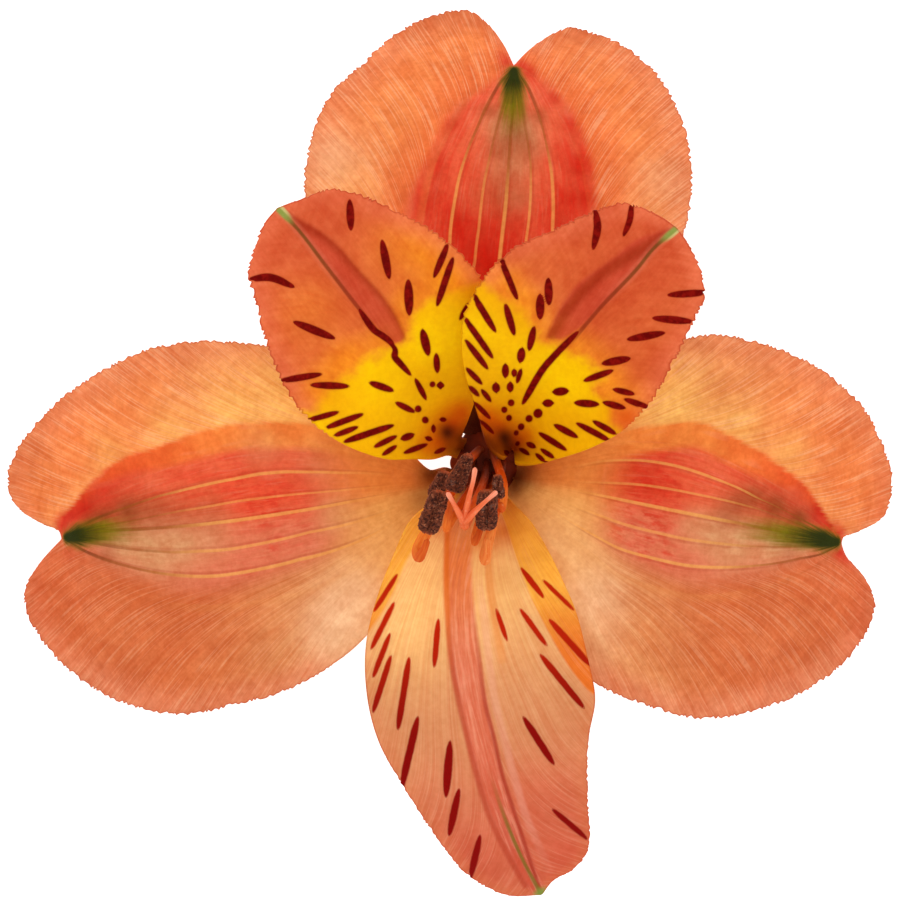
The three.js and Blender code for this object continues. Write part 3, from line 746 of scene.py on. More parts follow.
MIDDLE_THICKNESS = 0.34
EDGE_THICKNESS = 0.15
TOOTH_LENGTH = 0.6
TOOTH_DEPTH = 0.29
TOOTH_RISE = 0.68          # share of a tooth's length that its slow side takes
LEFT_TEETH, RIGHT_TEETH = 0.4, 2.1    # where in their run the two edges' teeth begin
VEIN_HEIGHT = 0.05
VEIN_WIDTH = 0.2
VEIN_SPREAD = 0.16         # share of the half width from one vein to the next
FOOT_DEPTH = 0.7           # how far a claw runs down into the ovary's top
STRAND_GAP = 1.3           # what stands for the space between two veins
GRAIN_TURN = 1.8           # how much tighter the grain turns towards the claw
MARK_TAPER = 3.2           # over how many of its own widths a streak narrows to its end
MARK_TIP = 0.1             # share of its width that a streak keeps at its end
WEDGE_HALF_WIDTH = 0.26    # of the green wedge, at the tip
WEDGE_GROWTH = 0.34        # how fast it widens away from the tip
WEDGE_WIDENING = 0.54      # the most that it widens by
WEDGE_BEND = 5.0           # how far from the tip a wedge goes on leaning
DARK_MIDDLE = (478, 452)   # the middle of the dark throat, on the sheet
FAR = 20.0                 # how far the tips lie from the throat, as far as the finish cares
PETAL_GLOSS = 0.03


def kind_of(name):
    return next(KINDS[start] for start in KINDS if name.startswith(start))


def soft_step(low, high, x):
    t = np.clip((x - low) / (high - low), 0, 1)
    return t * t * (3 - 2 * t)


def smooth_curve(points, count):
    """An even run of points along the centripetal curve through the given ones."""
    given = np.asarray(points, float)
    given = np.vstack([2 * given[0] - given[1], given, 2 * given[-1] - given[-2]])
    run = []
    for p0, p1, p2, p3 in zip(given, given[1:], given[2:], given[3:]):
        t0 = 0.0
        t1 = t0 + max(np.linalg.norm(p1 - p0) ** 0.5, 1e-6)
        t2 = t1 + max(np.linalg.norm(p2 - p1) ** 0.5, 1e-6)
        t3 = t2 + max(np.linalg.norm(p3 - p2) ** 0.5, 1e-6)
        t = np.linspace(t1, t2, 40, endpoint=False)[:, None]
        a1 = ((t1 - t) * p0 + (t - t0) * p1) / (t1 - t0)
        a2 = ((t2 - t) * p1 + (t - t1) * p2) / (t2 - t1)
        a3 = ((t3 - t) * p2 + (t - t2) * p3) / (t3 - t2)
        b1 = ((t2 - t) * a1 + (t - t0) * a2) / (t2 - t0)
        b2 = ((t3 - t) * a2 + (t - t1) * a3) / (t3 - t1)
        run.append(((t2 - t) * b1 + (t - t1) * b2) / (t2 - t1))
    run = np.vstack([*run, given[-2:-1]])
    passed = np.concatenate([[0], np.cumsum(np.linalg.norm(np.diff(run, axis=0), axis=1))])
    even = np.linspace(0, passed[-1], count)
    return np.column_stack([np.interp(even, passed, run[:, k]) for k in range(run.shape[1])])


def nearest_on(points, path):
    """Distance of each point from a path, and how far along it the nearest place lies, 0 to 1."""
    path = np.asarray(path, float)
    gap = np.full(len(points), 1e9)
    along = np.zeros(len(points))
    passed = 0.0
    for start, end in zip(path[:-1], path[1:]):
        run = end - start
        length = np.linalg.norm(run)
        share = np.clip(((points - start) @ run) / max(length * length, 1e-12), 0, 1)
        here = np.linalg.norm(points - start - share[:, None] * run, axis=1)
        nearer = here < gap
        gap[nearer] = here[nearer]
        along[nearer] = passed + share[nearer] * length
        passed += length
    return gap, along / max(passed, 1e-9)


def depth_inside(points, outline):
    """Distance in from a closed outline, with a minus outside it."""
    closed = np.vstack([outline, outline[:1]])
    gap, _ = nearest_on(points, closed)
    inside = np.zeros(len(points), bool)
    for (x0, y0), (x1, y1) in zip(closed[:-1], closed[1:]):
        if y0 == y1:
            continue
        crosses = (y0 > points[:, 1]) != (y1 > points[:, 1])
        inside ^= crosses & (points[:, 0] < x0 + (points[:, 1] - y0) * (x1 - x0) / (y1 - y0))
    return np.where(inside, gap, -gap)


def streak_depth(points, streaks):
    """Distance in from the nearest streak's edge, with a minus outside. Both ends taper."""
    depth = np.full(len(points), -9.0)
    for *places, width in streaks:
        plan = from_sheet(np.reshape(places, (-1, 2)))
        if len(plan) == 1:
            gap = np.linalg.norm(points - plan[0], axis=1)
            fullness = 1.0
        else:
            path = plan if len(plan) == 2 else smooth_curve(plan, 5 * len(plan))
            gap, along = nearest_on(points, path)
            length = np.linalg.norm(np.diff(path, axis=0), axis=1).sum()
            taper = min(MARK_TAPER * width * DIVISION, 0.5 * length)
            from_end = np.clip((0.5 - np.abs(along - 0.5)) * length / taper, 0, 1)
            fullness = MARK_TIP + (1 - MARK_TIP) * (1 - (1 - from_end) ** 2) ** 0.6
        depth = np.maximum(depth, fullness * width / 2 * DIVISION - gap)
    return depth


def patch_amount(points, patches):
    bare = np.ones(len(points))
    for x, y, radius, amount in patches:
        away = np.linalg.norm(points - from_sheet((x, y)), axis=1) / (radius * DIVISION)
        bare *= 1 - amount * np.exp(-(away**2))
    return 1 - bare


def height_on(profile, distance):
    """Height on a list of (distance, height) knots, as one smooth curve."""
    knots = np.asarray(profile, float)
    d, z = knots[:, 0], knots[:, 1]
    before = np.maximum(np.arange(len(d)) - 1, 0)
    after = np.minimum(np.arange(len(d)) + 1, len(d) - 1)
    slope = (z[after] - z[before]) / (d[after] - d[before])
    i = np.clip(np.searchsorted(d, distance, side="right") - 1, 0, len(d) - 2)
    span = d[i + 1] - d[i]
    t = np.clip((distance - d[i]) / span, 0, 1)
    rise = z[i] + (z[i + 1] - z[i]) * t * t * (3 - 2 * t)
    return rise + span * (slope[i] * t * (1 - t) ** 2 - slope[i + 1] * t * t * (1 - t))


def claw_foot(name):
    """The foot of a claw and its left and right corners, in plan."""
    angle = math.radians(TEPALS[name]["ring_angle"])
    outward = np.array([math.cos(angle), math.sin(angle)])
    sideways = np.array([-outward[1], outward[0]]) * CLAW_WIDTH / 2
    foot = from_sheet(THROAT) + outward * kind_of(name)["ring"]
    return foot, foot + sideways, foot - sideways


def tooth_line(name, length, progress, phase):
    """How far the edge is cut in at each row: small uneven teeth along the lobes."""
    start, depth = kind_of(name)["teeth"]
    s = progress * length
    turn = s / TOOTH_LENGTH + 0.5 * np.sin(s * 2.03 + phase) + 0.3 * np.sin(s * 4.9 + 2 * phase)
    part = turn - np.floor(turn)
    tooth = np.where(part < TOOTH_RISE, part / TOOTH_RISE, (1 - part) / (1 - TOOTH_RISE))
    size = 0.6 + 0.4 * np.abs(np.sin(s * 1.46 + phase))
    on_lobe = soft_step(start, start + 0.14, progress) * (1 - soft_step(0.9, 0.98, progress))
    return depth * TOOTH_DEPTH * tooth * size * on_lobe


def seat_on(point, rib, edges, progress):
    """A plan point as (progress, share of the way from the midrib to the left or right edge)."""
    seats = []
    for side, edge in zip((1, -1), edges):
        across = edge - rib
        share = np.clip(((point - rib) * across).sum(1) / (across**2).sum(1), 0, 1)
        gap = np.linalg.norm(point - rib - share[:, None] * across, axis=1)
        row = int(np.argmin(gap))
        seats.append((gap[row], progress[row], side * share[row]))
    return min(seats)[1:]


def vein_field(name, share, rib, edges, progress):
    """Veins counted across the blade at whole numbers, and how strongly the nearest shows."""
    veins = VEINS.get(name, [])
    if not veins:
        return np.zeros_like(share), np.zeros_like(share)
    knots = [sorted(seat_on(p, rib, edges, progress) for p in from_sheet(places))
             for places, _ in veins]
    places = np.array([np.interp(progress, *zip(*seats)) for seats in knots])
    places = np.maximum.accumulate(places + np.arange(len(veins))[:, None] * 1e-4, axis=0)
    numbers = np.arange(-1, len(veins) + 1) - len(veins) // 2
    strengths = [0, *[strength for _, strength in veins], 0]
    count = np.zeros_like(share)
    strength = np.zeros_like(share)
    for row, shares in enumerate(places.T):
        shares = [-1.0, *shares, 1.0]
        count[row] = np.interp(share[row], shares, numbers)
        strength[row] = np.interp(share[row], shares, strengths)
    return count, strength


def outline_of(name):
    """A tepal's outline in plan."""
    tepal = TEPALS[name]
    tip = tepal["midrib"][-1]
    _, left, right = claw_foot(name)
    there = smooth_curve([left, *from_sheet([*tepal["left"], tip])], 120)
    back = smooth_curve([right, *from_sheet([*tepal["right"], tip])], 120)[::-1]
    return np.vstack([there, back[1:]])


def relief_of(name, share, progress, mm_across, count, strength):
    """Small rises and furrows on the blade: its veins and the furrow along the midrib."""
    nearest = np.abs(count - np.round(count))
    spacing = np.abs(mm_across) / np.maximum(np.abs(share), 1e-3)
    off_vein = nearest * spacing * VEIN_SPREAD
    depth, width = kind_of(name)["furrow"]
    body = soft_step(0.12, 0.3, progress) * (1 - soft_step(0.88, 1, progress))
    rise = VEIN_HEIGHT * strength * np.exp(-((off_vein / VEIN_WIDTH) ** 2))
    return (rise - depth * np.exp(-((mm_across / width) ** 2))) * body


def height_at(name, points, share, progress):
    """The blade's height: its profile, the claw's cupping, and the lift and waves of its edges."""
    tepal = TEPALS[name]
    foot = claw_foot(name)[0]
    along = from_sheet(tepal["midrib"][-1]) - foot
    along /= np.linalg.norm(along)
    offset = points - foot
    ahead = offset @ along
    aside = along[0] * offset[..., 1] - along[1] * offset[..., 0]
    distance = np.hypot(ahead, SIDE_DROOP * aside)
    channel = CLAW_CUPPING * aside**2 * np.exp(-distance / CUPPING_REACH)
    lifts = np.where(share > 0, *tepal.get("lift", (0, 0)))
    lifted = lifts * share**2 * np.sin(np.pi * progress)
    lobes = soft_step(0.3, 0.6, progress) * (1 - soft_step(0.9, 1, progress))
    wave = np.sin(2 * np.pi * EDGE_WAVES * progress) * np.abs(share) ** 3 * lobes
    return height_on(tepal["profile"], distance) + channel + lifted + kind_of(name)["wave"] * wave


def rested(height, lowest):
    """The height, bent softly where it would go below the lowest that the surface allows."""
    above = height - lowest
    bent = lowest + (np.clip(above, -BEND, BEND) + BEND) ** 2 / (4 * BEND)
    return np.where(above > BEND, height, bent)


def thin_body(surface, half_thickness, tip):
    """A closed body on both sides of a grid of points whose rows run up to a tip."""
    normals = np.cross(np.gradient(surface, axis=1), np.gradient(surface, axis=0))
    normals /= np.linalg.norm(normals, axis=2, keepdims=True)
    # The first row again, lower down, roots the claw in the ovary.
    surface = np.concatenate([surface[:1] - [0, 0, FOOT_DEPTH], surface])
    normals = np.concatenate([normals[:1], normals])
    half_thickness = np.concatenate([half_thickness[:1], half_thickness])[..., None]
    points = []
    for side in (1, -1):
        points.append((surface + side * half_thickness * normals).reshape(-1, 3))
        points.append(tip[None] + [0, 0, side * EDGE_THICKNESS / 2])
    vertices = np.vstack(points)
    vertices[:, 2] = np.maximum(vertices[:, 2], 0)

    lines, columns = surface.shape[:2]
    corner = np.arange(lines * columns).reshape(lines, columns)
    end = lines * columns
    under = end + 1
    p, t = corner[:-1, :-1].ravel(), corner[:-1, 1:].ravel()
    q, s = corner[1:, :-1].ravel(), corner[1:, 1:].ravel()
    faces = np.column_stack([p, t, s, q]).tolist()
    faces += (np.column_stack([p, q, s, t]) + under).tolist()
    last = corner[-1]
    faces += [(a, b, end) for a, b in zip(last[:-1], last[1:])]
    faces += [(b + under, a + under, end + under) for a, b in zip(last[:-1], last[1:])]
    rim = [*corner[0], *corner[1:, -1], end, *corner[:0:-1, 0]]
    faces += [(a, a + under, b + under, b) for a, b in zip(rim, [*rim[1:], rim[0]])]
    return vertices, faces


def wedge_share(name, share, plan, rib):
    """Distance from the middle of the green wedge at the tip, over the wedge's half width."""
    from_tip = np.linalg.norm(plan - rib[-1], axis=1).reshape(share.shape)
    off = nearest_on(plan, rib[::7])[0].reshape(share.shape) * np.sign(share)
    middle = TEPALS[name].get("wedge_slant", 0) * np.minimum(from_tip, WEDGE_BEND)
    half_width = WEDGE_HALF_WIDTH + np.minimum(WEDGE_GROWTH * from_tip, WEDGE_WIDENING)
    return np.abs(off - middle) / half_width


def grain_lane(name, share, progress):
    """Where the grain line through a place meets the edge, as a share of the edge from the tip."""
    bend, start, least = kind_of(name)["grain"]
    side = np.maximum(np.abs(share), least)
    turn = bend / (side + start) - bend / (1 + start)
    return (1 - progress) / (1 + GRAIN_TURN * turn * (1 - progress))


def blade_fields(name, share, progress, reach, rib, plan, veins, lengths):
    """The numbers and directions that the finish reads, for each vertex of the body."""
    tepal = TEPALS[name]

    def on_body(grid, at_tip=0.0):
        """A field on both sides, from its values at the rows and at the tip."""
        grid = np.asarray(grid, float).reshape(share.shape)
        side = np.concatenate([grid[:1].ravel(), grid.ravel(), [at_tip]])
        return np.concatenate([side, side])

    def distance_from(place):
        return np.linalg.norm(plan - from_sheet(place), axis=1)

    count, strength = veins
    mm_across = share * reach
    numbers = {
        "progress": on_body(progress, 1),
        "across": on_body(mm_across),
        "margin": on_body((1 - np.abs(share)) * reach),
        "from_tip": on_body(distance_from(tepal["midrib"][-1]) / tepal.get("wedge_reach", 1)),
        "from_throat": on_body(distance_from(DARK_MIDDLE), FAR),
    }
    if name in VEINS:
        low_side = tepal.get("low_side", 0)
        numbers |= {
            "vein": on_body(count),
            "vein_strength": on_body(strength, 1),
            "wedge": on_body(wedge_share(name, share, plan, rib)),
            "low_side": on_body(soft_step(-0.1, 0.14, share * low_side) * abs(low_side)),
            "side_tepal": on_body(np.full_like(share, abs(low_side))),
        }
    for field, places in FIELDS[name].items():
        outline = from_sheet(places)
        ring = smooth_curve([*outline, outline[0]], 12 * len(outline))[:-1]
        numbers[field] = on_body(depth_inside(plan, ring))
    for field, patches in PATCHES[name].items():
        numbers[field] = on_body(patch_amount(plan, patches))
    if name in STREAKS:
        numbers["marks"] = on_body(streak_depth(plan, STREAKS[name]), -1)
    for field, places in LINES.get(name, {}).items():
        numbers[field] = on_body(nearest_on(plan, smooth_curve(from_sheet(places), 40))[0], 9)
    if "behind" in tepal:
        depths = [depth_inside(plan, outline_of(other)) for other in tepal["behind"]]
        numbers["doubled"] = on_body(np.maximum.reduce(depths))
    strand = count * STRAND_GAP if name in VEINS else mm_across
    tracks = {
        "grain": np.column_stack([
            on_body(grain_lane(name, share, progress) * (lengths[0] + lengths[2]) / 2),
            on_body(np.abs(mm_across)),
            on_body(np.sign(share) * 3 + len(name)),
        ]),
        "strands": np.column_stack([
            on_body(strand),
            on_body(progress * lengths[1], lengths[1]),
            on_body(np.full_like(share, tepal["ring_angle"] / 7)),
        ]),
    }
    return numbers, tracks


def blade(name):
    """One tepal as a closed thin body, with the fields that its finish reads."""
    tepal, kind = TEPALS[name], kind_of(name)
    rows, half = kind["rows"], kind["columns"]
    tip = from_sheet(tepal["midrib"][-1])
    foot, left_corner, right_corner = claw_foot(name)
    left = smooth_curve([left_corner, *from_sheet(tepal["left"]), tip], rows + 1)[:-1]
    right = smooth_curve([right_corner, *from_sheet(tepal["right"]), tip], rows + 1)[:-1]
    rib = smooth_curve([foot, *from_sheet(tepal["midrib"])], rows + 1)[:-1]
    lengths = [np.linalg.norm(np.diff(edge, axis=0), axis=1).sum() for edge in (left, rib, right)]

    sides = np.concatenate([np.linspace(0, 1, half + 1)[:-1], [RIM_SHARE, 1.0]])
    across_shares = np.concatenate([sides[:0:-1], -sides])
    rows_progress = np.arange(rows) / rows
    share, progress = np.meshgrid(across_shares, rows_progress)
    on_left = across_shares >= 0
    across = np.where(on_left[None, :, None], left[:, None], right[:, None]) - rib[:, None]
    reach = np.linalg.norm(across, axis=2)
    teeth = np.where(
        on_left[None, :],
        tooth_line(name, lengths[0], rows_progress, LEFT_TEETH + lengths[0])[:, None],
        tooth_line(name, lengths[2], rows_progress, RIGHT_TEETH + lengths[2])[:, None],
    )
    near_edge = soft_step(0.9, 1.0, np.abs(share))
    drawn = np.abs(share) - near_edge * teeth / np.maximum(reach, 0.5)
    plan = rib[:, None] + across * drawn[..., None]
    whole_plan = (rib[:, None] + across * np.abs(share)[..., None]).reshape(-1, 2)

    veins = vein_field(name, share, rib, (left, right), rows_progress)
    z = height_at(name, plan, share, progress)
    z += relief_of(name, share, progress, share * reach, *veins)
    thin = soft_step(0.35, 1.0, np.abs(share)) * soft_step(0.05, 0.3, progress)
    half_thickness = (MIDDLE_THICKNESS + (EDGE_THICKNESS - MIDDLE_THICKNESS) * thin) / 2
    surface = np.concatenate([plan, rested(z, half_thickness)[..., None]], axis=2)
    tip_height = height_at(name, tip[None], np.zeros(1), np.ones(1))
    tip_point = np.concatenate([tip, rested(tip_height, EDGE_THICKNESS / 2)])
    vertices, faces = thin_body(surface, half_thickness, tip_point)
    fields = blade_fields(name, share, progress, reach, rib, whole_plan, veins, lengths)
    return vertices, faces, *fields


def made_object(name, vertices, faces, material, numbers=None, tracks=None):
    """A smooth mesh object from points in millimetres."""
    mesh = bpy.data.meshes.new(name)
    mesh.from_pydata((np.asarray(vertices) * MM).tolist(), [], faces)
    for field, values in (numbers or {}).items():
        layer = mesh.attributes.new(field, "FLOAT", "POINT")
        layer.data.foreach_set("value", np.asarray(values, np.float32))
    for field, values in (tracks or {}).items():
        layer = mesh.attributes.new(field, "FLOAT_VECTOR", "POINT")
        layer.data.foreach_set("vector", np.asarray(values, np.float32).ravel())
    mesh.materials.append(material)
    mesh.shade_smooth()
    mesh.validate()
    return linked(name, mesh)


def stands_for(piece, nodes):
    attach(piece, "root")
    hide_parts(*nodes)


# ------------------------------------------------------------------ petal finishes
class Petal(Finish):
    """A tepal's finish, with what the three kinds share."""

    def __init__(self, name):
        super().__init__(name)
        self.progress, self.margin = self.measure("progress"), self.measure("margin")
        self.from_tip, self.from_throat = self.measure("from_tip"), self.measure("from_throat")
        self.grain, self.strands = self.track("grain"), self.track("strands")

    def rimmed(self, colour, start, full, code):
        """The colour with a fine line along the edge, which grows from start to full."""
        along = self.step(self.progress, start, full, 0.0, 0.5)
        return self.coats(colour, (self.times(self.step(self.margin, 0.16, 0.03), along), code))

    def petal(self, colour, clouds, roughness, depth, glow, *reliefs):
        """The surface, with its relief from three grains and their shares."""
        first, second, third = (self.times(grain, share) for grain, share in reliefs)
        normal = self.relief(self.plus(first, self.plus(second, third)), depth)
        rough = self.step(clouds, 0.3, 0.7, *roughness)
        return self.close(colour, rough, normal, gloss=PETAL_GLOSS, glow=glow)


def outer_finish():
    f = Petal("outer tepal petal")
    progress, margin, panel = f.progress, f.margin, f.measure("panel")
    outside, scarlet = f.times(panel, -1.0), f.measure("scarlet")
    low_side, side_tepal = f.measure("low_side"), f.measure("side_tepal")
    threads = f.lanes(f.grain, 2.2, 0.25, 3.0, 0.6)
    hairs = f.lanes(f.grain, 8.0, 0.32, 0.0, 0.5)
    fibres = f.lanes(f.strands, 4.2, 0.35, 3.0, 0.6)
    flecks = f.lanes(f.strands, 2.8, 0.75, 3.0, 0.62)
    strings = f.lanes(f.strands, 7.5, 0.4, 1.0, 0.5)
    clouds = f.noise(f.place(), 260.0, 3.0)
    mottle = f.noise(f.place(), 900.0, 3.0, 0.6)
    speckle = f.noise(f.place(), 2600.0, 2.0, 0.6)

    # The lobes, outside the panel.
    upper = f.coats(
        f.blend("F2A464", "F28E4E", f.step(progress, 0.35, 0.72)),
        (f.step(margin, 3.2, 0.4, 0.0, 0.6), "E8885C"),
        (f.step(outside, 2.2, 0.0, 0.0, 0.5), "F8A45A"),
    )
    lower = f.coats(
        f.blend("E69C60", "DD7643", f.step(progress, 0.32, 0.62)),
        (f.step(margin, 3.0, 0.3, 0.0, 0.75), "EA9066"),
        (f.step(progress, 0.72, 0.9, 0.0, 0.6), "E47244"),
    )
    beside = f.times(f.step(outside, 3.6, 0.0, 0.0, 0.7), f.step(side_tepal, 1.0, 0.0))
    lobe = f.coats(
        f.mix(low_side, upper, lower), (beside, "E86834"), ("gold", "FFCC6E"), ("cream", "F5C898")
    )
    lobe = f.shaded(
        lobe,
        (clouds, (0.95, 0.92, 0.9), (1.03, 1.07, 1.08)),
        (threads, (0.93, 0.8, 0.72), (1.03, 1.13, 1.2)),
    )
    hair = f.times(f.step(hairs, 0.54, 0.7, 0.0, 0.36), f.step(low_side, 0.0, 1.0, 1.0, 0.6))
    lobe = f.coats(lobe, (hair, "FCC898"))

    # The panel: red on its upper side with an orange rim, and dull rose on its low side.
    core_inset = f.times(f.step(progress, 0.56, 0.88, 1.9, 0.3), side_tepal)
    core_depth = f.ragged(f.plus(panel, f.times(core_inset, -1.0)), fibres, 0.5)
    red = f.coats(
        f.blend("F27A50", "E85E3C", f.step(fibres, 0.35, 0.65)),
        (scarlet, "EE5232", 0.6),
        (f.times(f.step(flecks, 0.4, 0.66), f.step(scarlet, 0.0, 0.7, 0.25, 0.78)), "DC3620"),
    )
    rim = f.blend("F69846", "EF6E34", f.step(progress, 0.4, 0.7))
    red = f.mix(f.times(side_tepal, f.step(core_depth, 0.6, -0.4)), red, rim)
    rose = f.coats(
        f.blend("EA9068", "E07A56", f.step(fibres, 0.35, 0.65)),
        (f.times(f.step(flecks, 0.4, 0.66), f.step(scarlet, 0.0, 0.6, 0.3, 0.9)), "D8462E"),
        (f.step(panel, 2.2, 0.4, 0.0, 0.7), "D4704C"),
    )
    deep = f.coats(
        f.mix(low_side, red, rose),
        (f.step(strings, 0.55, 0.7, 0.0, 0.15), "F6A880"),
        ("crimson", "D21A08", 0.9),
        ("tan", "DEA470", 0.9),
        ("brown", "924418", 0.9),
    )
    deep = f.shaded(deep, (flecks, (0.95, 0.82, 0.78), (1.03, 1.12, 1.14)))
    ragged = f.ragged(panel, threads, 0.9)
    edge = f.mix(side_tepal, f.step(ragged, -0.5, 0.7), f.step(ragged, -0.18, 0.34))
    edge = f.mix(low_side, edge, f.step(ragged, -0.2, 2.0))
    colour = f.mix(f.times(edge, f.step(progress, 0.16, 0.33)), lobe, deep)

    claw = f.blend("F09A46", "F4BC66", low_side)
    colour = f.mix(f.step(progress, 0.38, 0.18, 0.0, 0.9), colour, claw)
    colour = f.coats(colour, ("cream", "FAD4AA", 0.6))
    colour = f.shaded(colour, (fibres, (0.97, 0.92, 0.9), (1.02, 1.06, 1.08)))

    # The veins, each with a soft shadow on one side.
    vein = f.measure("vein")
    off = f.plus(vein, f.times(f.work("ROUND", vein), -1.0))
    shown = f.work("MAXIMUM", f.step(progress, 0.72, 0.6), f.step(panel, -0.5, 0.1))
    strength = f.times(f.measure("vein_strength"), f.step(progress, 0.12, 0.3))
    strength = f.times(strength, shown)
    shadow = f.step(f.size_of(f.plus(off, 0.11)), 0.09, 0.0)
    shadow = f.times(f.times(shadow, strength), f.step(panel, 0.0, 1.0, 0.0, 0.3))
    width = f.step(f.size_of(vein), 0.35, 0.45, 0.11, 0.08)
    width = f.times(width, f.step(progress, 0.7, 0.92, 1.0, 2.2))
    light_vein = f.step(f.work("DIVIDE", f.size_of(off), width), 1.0, 0.35)
    light_vein = f.times(light_vein, f.times(f.step(progress, 0.97, 0.9), strength))
    vein_paint = f.blend("F2B25C", "A2541E", f.step(progress, 0.58, 0.76))
    vein_paint = f.coats(vein_paint, (f.step(progress, 0.78, 0.88), "6E3008"))
    colour = f.coats(colour, (shadow, "B03C1C"))
    colour = f.mix(f.times(light_vein, 0.72), colour, vein_paint)

    # The notch with its green wedge, and the dark throat: partly the claws' own brown, partly
    # painted shade of the deep throat.
    wedge = f.ragged(f.measure("wedge"), fibres, 0.9)
    from_tip = f.plus(f.from_tip, f.times(fibres, 2.2))
    away = f.ragged(f.from_throat, clouds, 1.2)
    colour = f.coats(
        colour,
        ("lip", "D62418", 0.85),
        (f.times(f.step(wedge, 1.7, 0.5), f.step(from_tip, 7.9, 4.2)), "827400", 0.9),
        (f.times(f.step(wedge, 1.35, 0.5), f.step(from_tip, 5.1, 2.4)), "2E3400"),
        (f.step(away, 5.2, 3.4, 0.0, 0.5), "C05C14"),
        # painted shade: dark patches on the claws by the throat
        ("smudge", "64280A"),
        (f.step(away, 3.2, 2.2, 0.0, 0.85), "5A220E"),
    )
    colour = f.rimmed(colour, 0.2, 0.4, "C8502A")
    colour = f.shaded(
        colour,
        (mottle, (0.95, 0.91, 0.88), (1.03, 1.07, 1.1)),
        (speckle, (0.96, 0.92, 0.9), (1.03, 1.06, 1.08)),
    )
    reliefs = (threads, 0.5), (fibres, 0.4), (hairs, 0.4)
    return f.petal(colour, clouds, (0.46, 0.6), 0.035, 0.3, *reliefs)


def inner_upper_finish():
    f = Petal("streaked inner petal")
    progress, blotch, across = f.progress, f.measure("blotch"), f.measure("across")
    threads = f.lanes(f.grain, 2.4, 0.25, 3.0, 0.6)
    ripples = f.lanes(f.grain, 2.6, 0.2, 1.0, 0.4)
    fibres = f.lanes(f.strands, 3.4, 0.4, 3.0, 0.6)
    clouds = f.noise(f.place(), 300.0, 3.0)
    mottle = f.noise(f.place(), 850.0, 3.0, 0.6)
    speckle = f.noise(f.place(), 2100.0, 2.0, 0.6)

    colour = f.coats(
        f.blend("E27038", "DC643C", f.step(progress, 0.45, 0.9)),
        ("flush", "CC4624", 0.8),
        ("amber", "FFA21A"),
        (f.step(blotch, -3.0, -0.3, 0.0, 0.6), "F8981C"),
        (f.step(f.margin, 2.2, 0.2, 0.0, 0.55), "EC7A54"),
    )
    band_paint = f.blend("A82C14", "D04C34", f.step(f.measure("side_line"), 0.05, 0.8))
    colour = f.mix(f.step(f.measure("band"), -0.2, 0.25, 0.0, 0.8), colour, band_paint)
    colour = f.shaded(
        colour,
        (clouds, (0.95, 0.88, 0.85), (1.03, 1.08, 1.08)),
        (mottle, (0.95, 0.86, 0.82), (1.03, 1.1, 1.1)),
        (fibres, (0.98, 0.92, 0.9), (1.02, 1.06, 1.06)),
        (ripples, (0.98, 0.93, 0.9), (1.02, 1.05, 1.08)),
    )

    # The yellow blotch with its ragged edge.
    stirred = f.plus(f.times(f.plus(clouds, -0.5), 1.6), f.times(f.plus(mottle, -0.5), 1.2))
    yellow = f.coats(f.blend("F8BC06", "F09A10", f.measure("amber")), ("bright", "FFD404"))
    yellow = f.shaded(yellow, (clouds, (0.97, 0.92, 0.8), (1.02, 1.04, 1.0)))
    colour = f.mix(f.step(f.plus(blotch, stirred), -0.7, 0.5), colour, yellow)
    colour = f.coats(colour, ("rust", "E25A08"))

    # The midrib with its green tip.
    off = f.size_of(across)
    pale = f.times(f.step(off, 0.62, 0.3), f.step(progress, 0.55, 0.8, 0.0, 0.2))
    line = f.times(f.step(off, 0.26, 0.08), f.step(progress, 0.42, 0.52, 0.0, 0.85))
    glint = f.step(f.size_of(f.plus(across, 0.3)), 0.2, 0.04)
    colour = f.coats(colour, (pale, "E88A68"))
    colour = f.mix(line, colour, f.blend("963418", "74481A", f.step(progress, 0.6, 0.9)))
    # Darker towards the throat: partly the claws' own colour, partly painted shade of the deep
    # throat.
    away = f.ragged(f.from_throat, clouds, 1.0)
    colour = f.coats(
        colour,
        (f.times(f.step(off, 0.42, 0.12), f.step(f.from_tip, 1.9, 0.7)), "94A04C"),
        (f.times(glint, f.step(f.from_tip, 1.5, 0.5)), "D4CC84", 0.8),
        (f.step(away, 3.2, 1.6, 0.0, 0.8), "C0600F"),
        ("brown", "4A1A0A", 0.9),
        (f.step(away, 1.8, 0.9, 0.0, 0.8), "7A2C0C"),
    )
    colour = f.rimmed(colour, 0.3, 0.5, "B83C1C")

    spot = f.ragged(f.measure("marks"), speckle, 0.06)
    colour = f.coats(colour, (f.step(spot, -0.2, -0.04, 0.0, 0.35), "C0400C"))
    mark_paint = f.blend("6C0402", "8A0E06", f.step(speckle, 0.35, 0.7))
    colour = f.mix(f.step(spot, -0.1, 0.0), colour, mark_paint)
    colour = f.shaded(colour, (speckle, (0.97, 0.94, 0.9), (1.02, 1.04, 1.06)))
    reliefs = (threads, 0.5), (ripples, 0.3), (speckle, 0.3)
    return f.petal(colour, clouds, (0.44, 0.58), 0.03, 0.22, *reliefs)


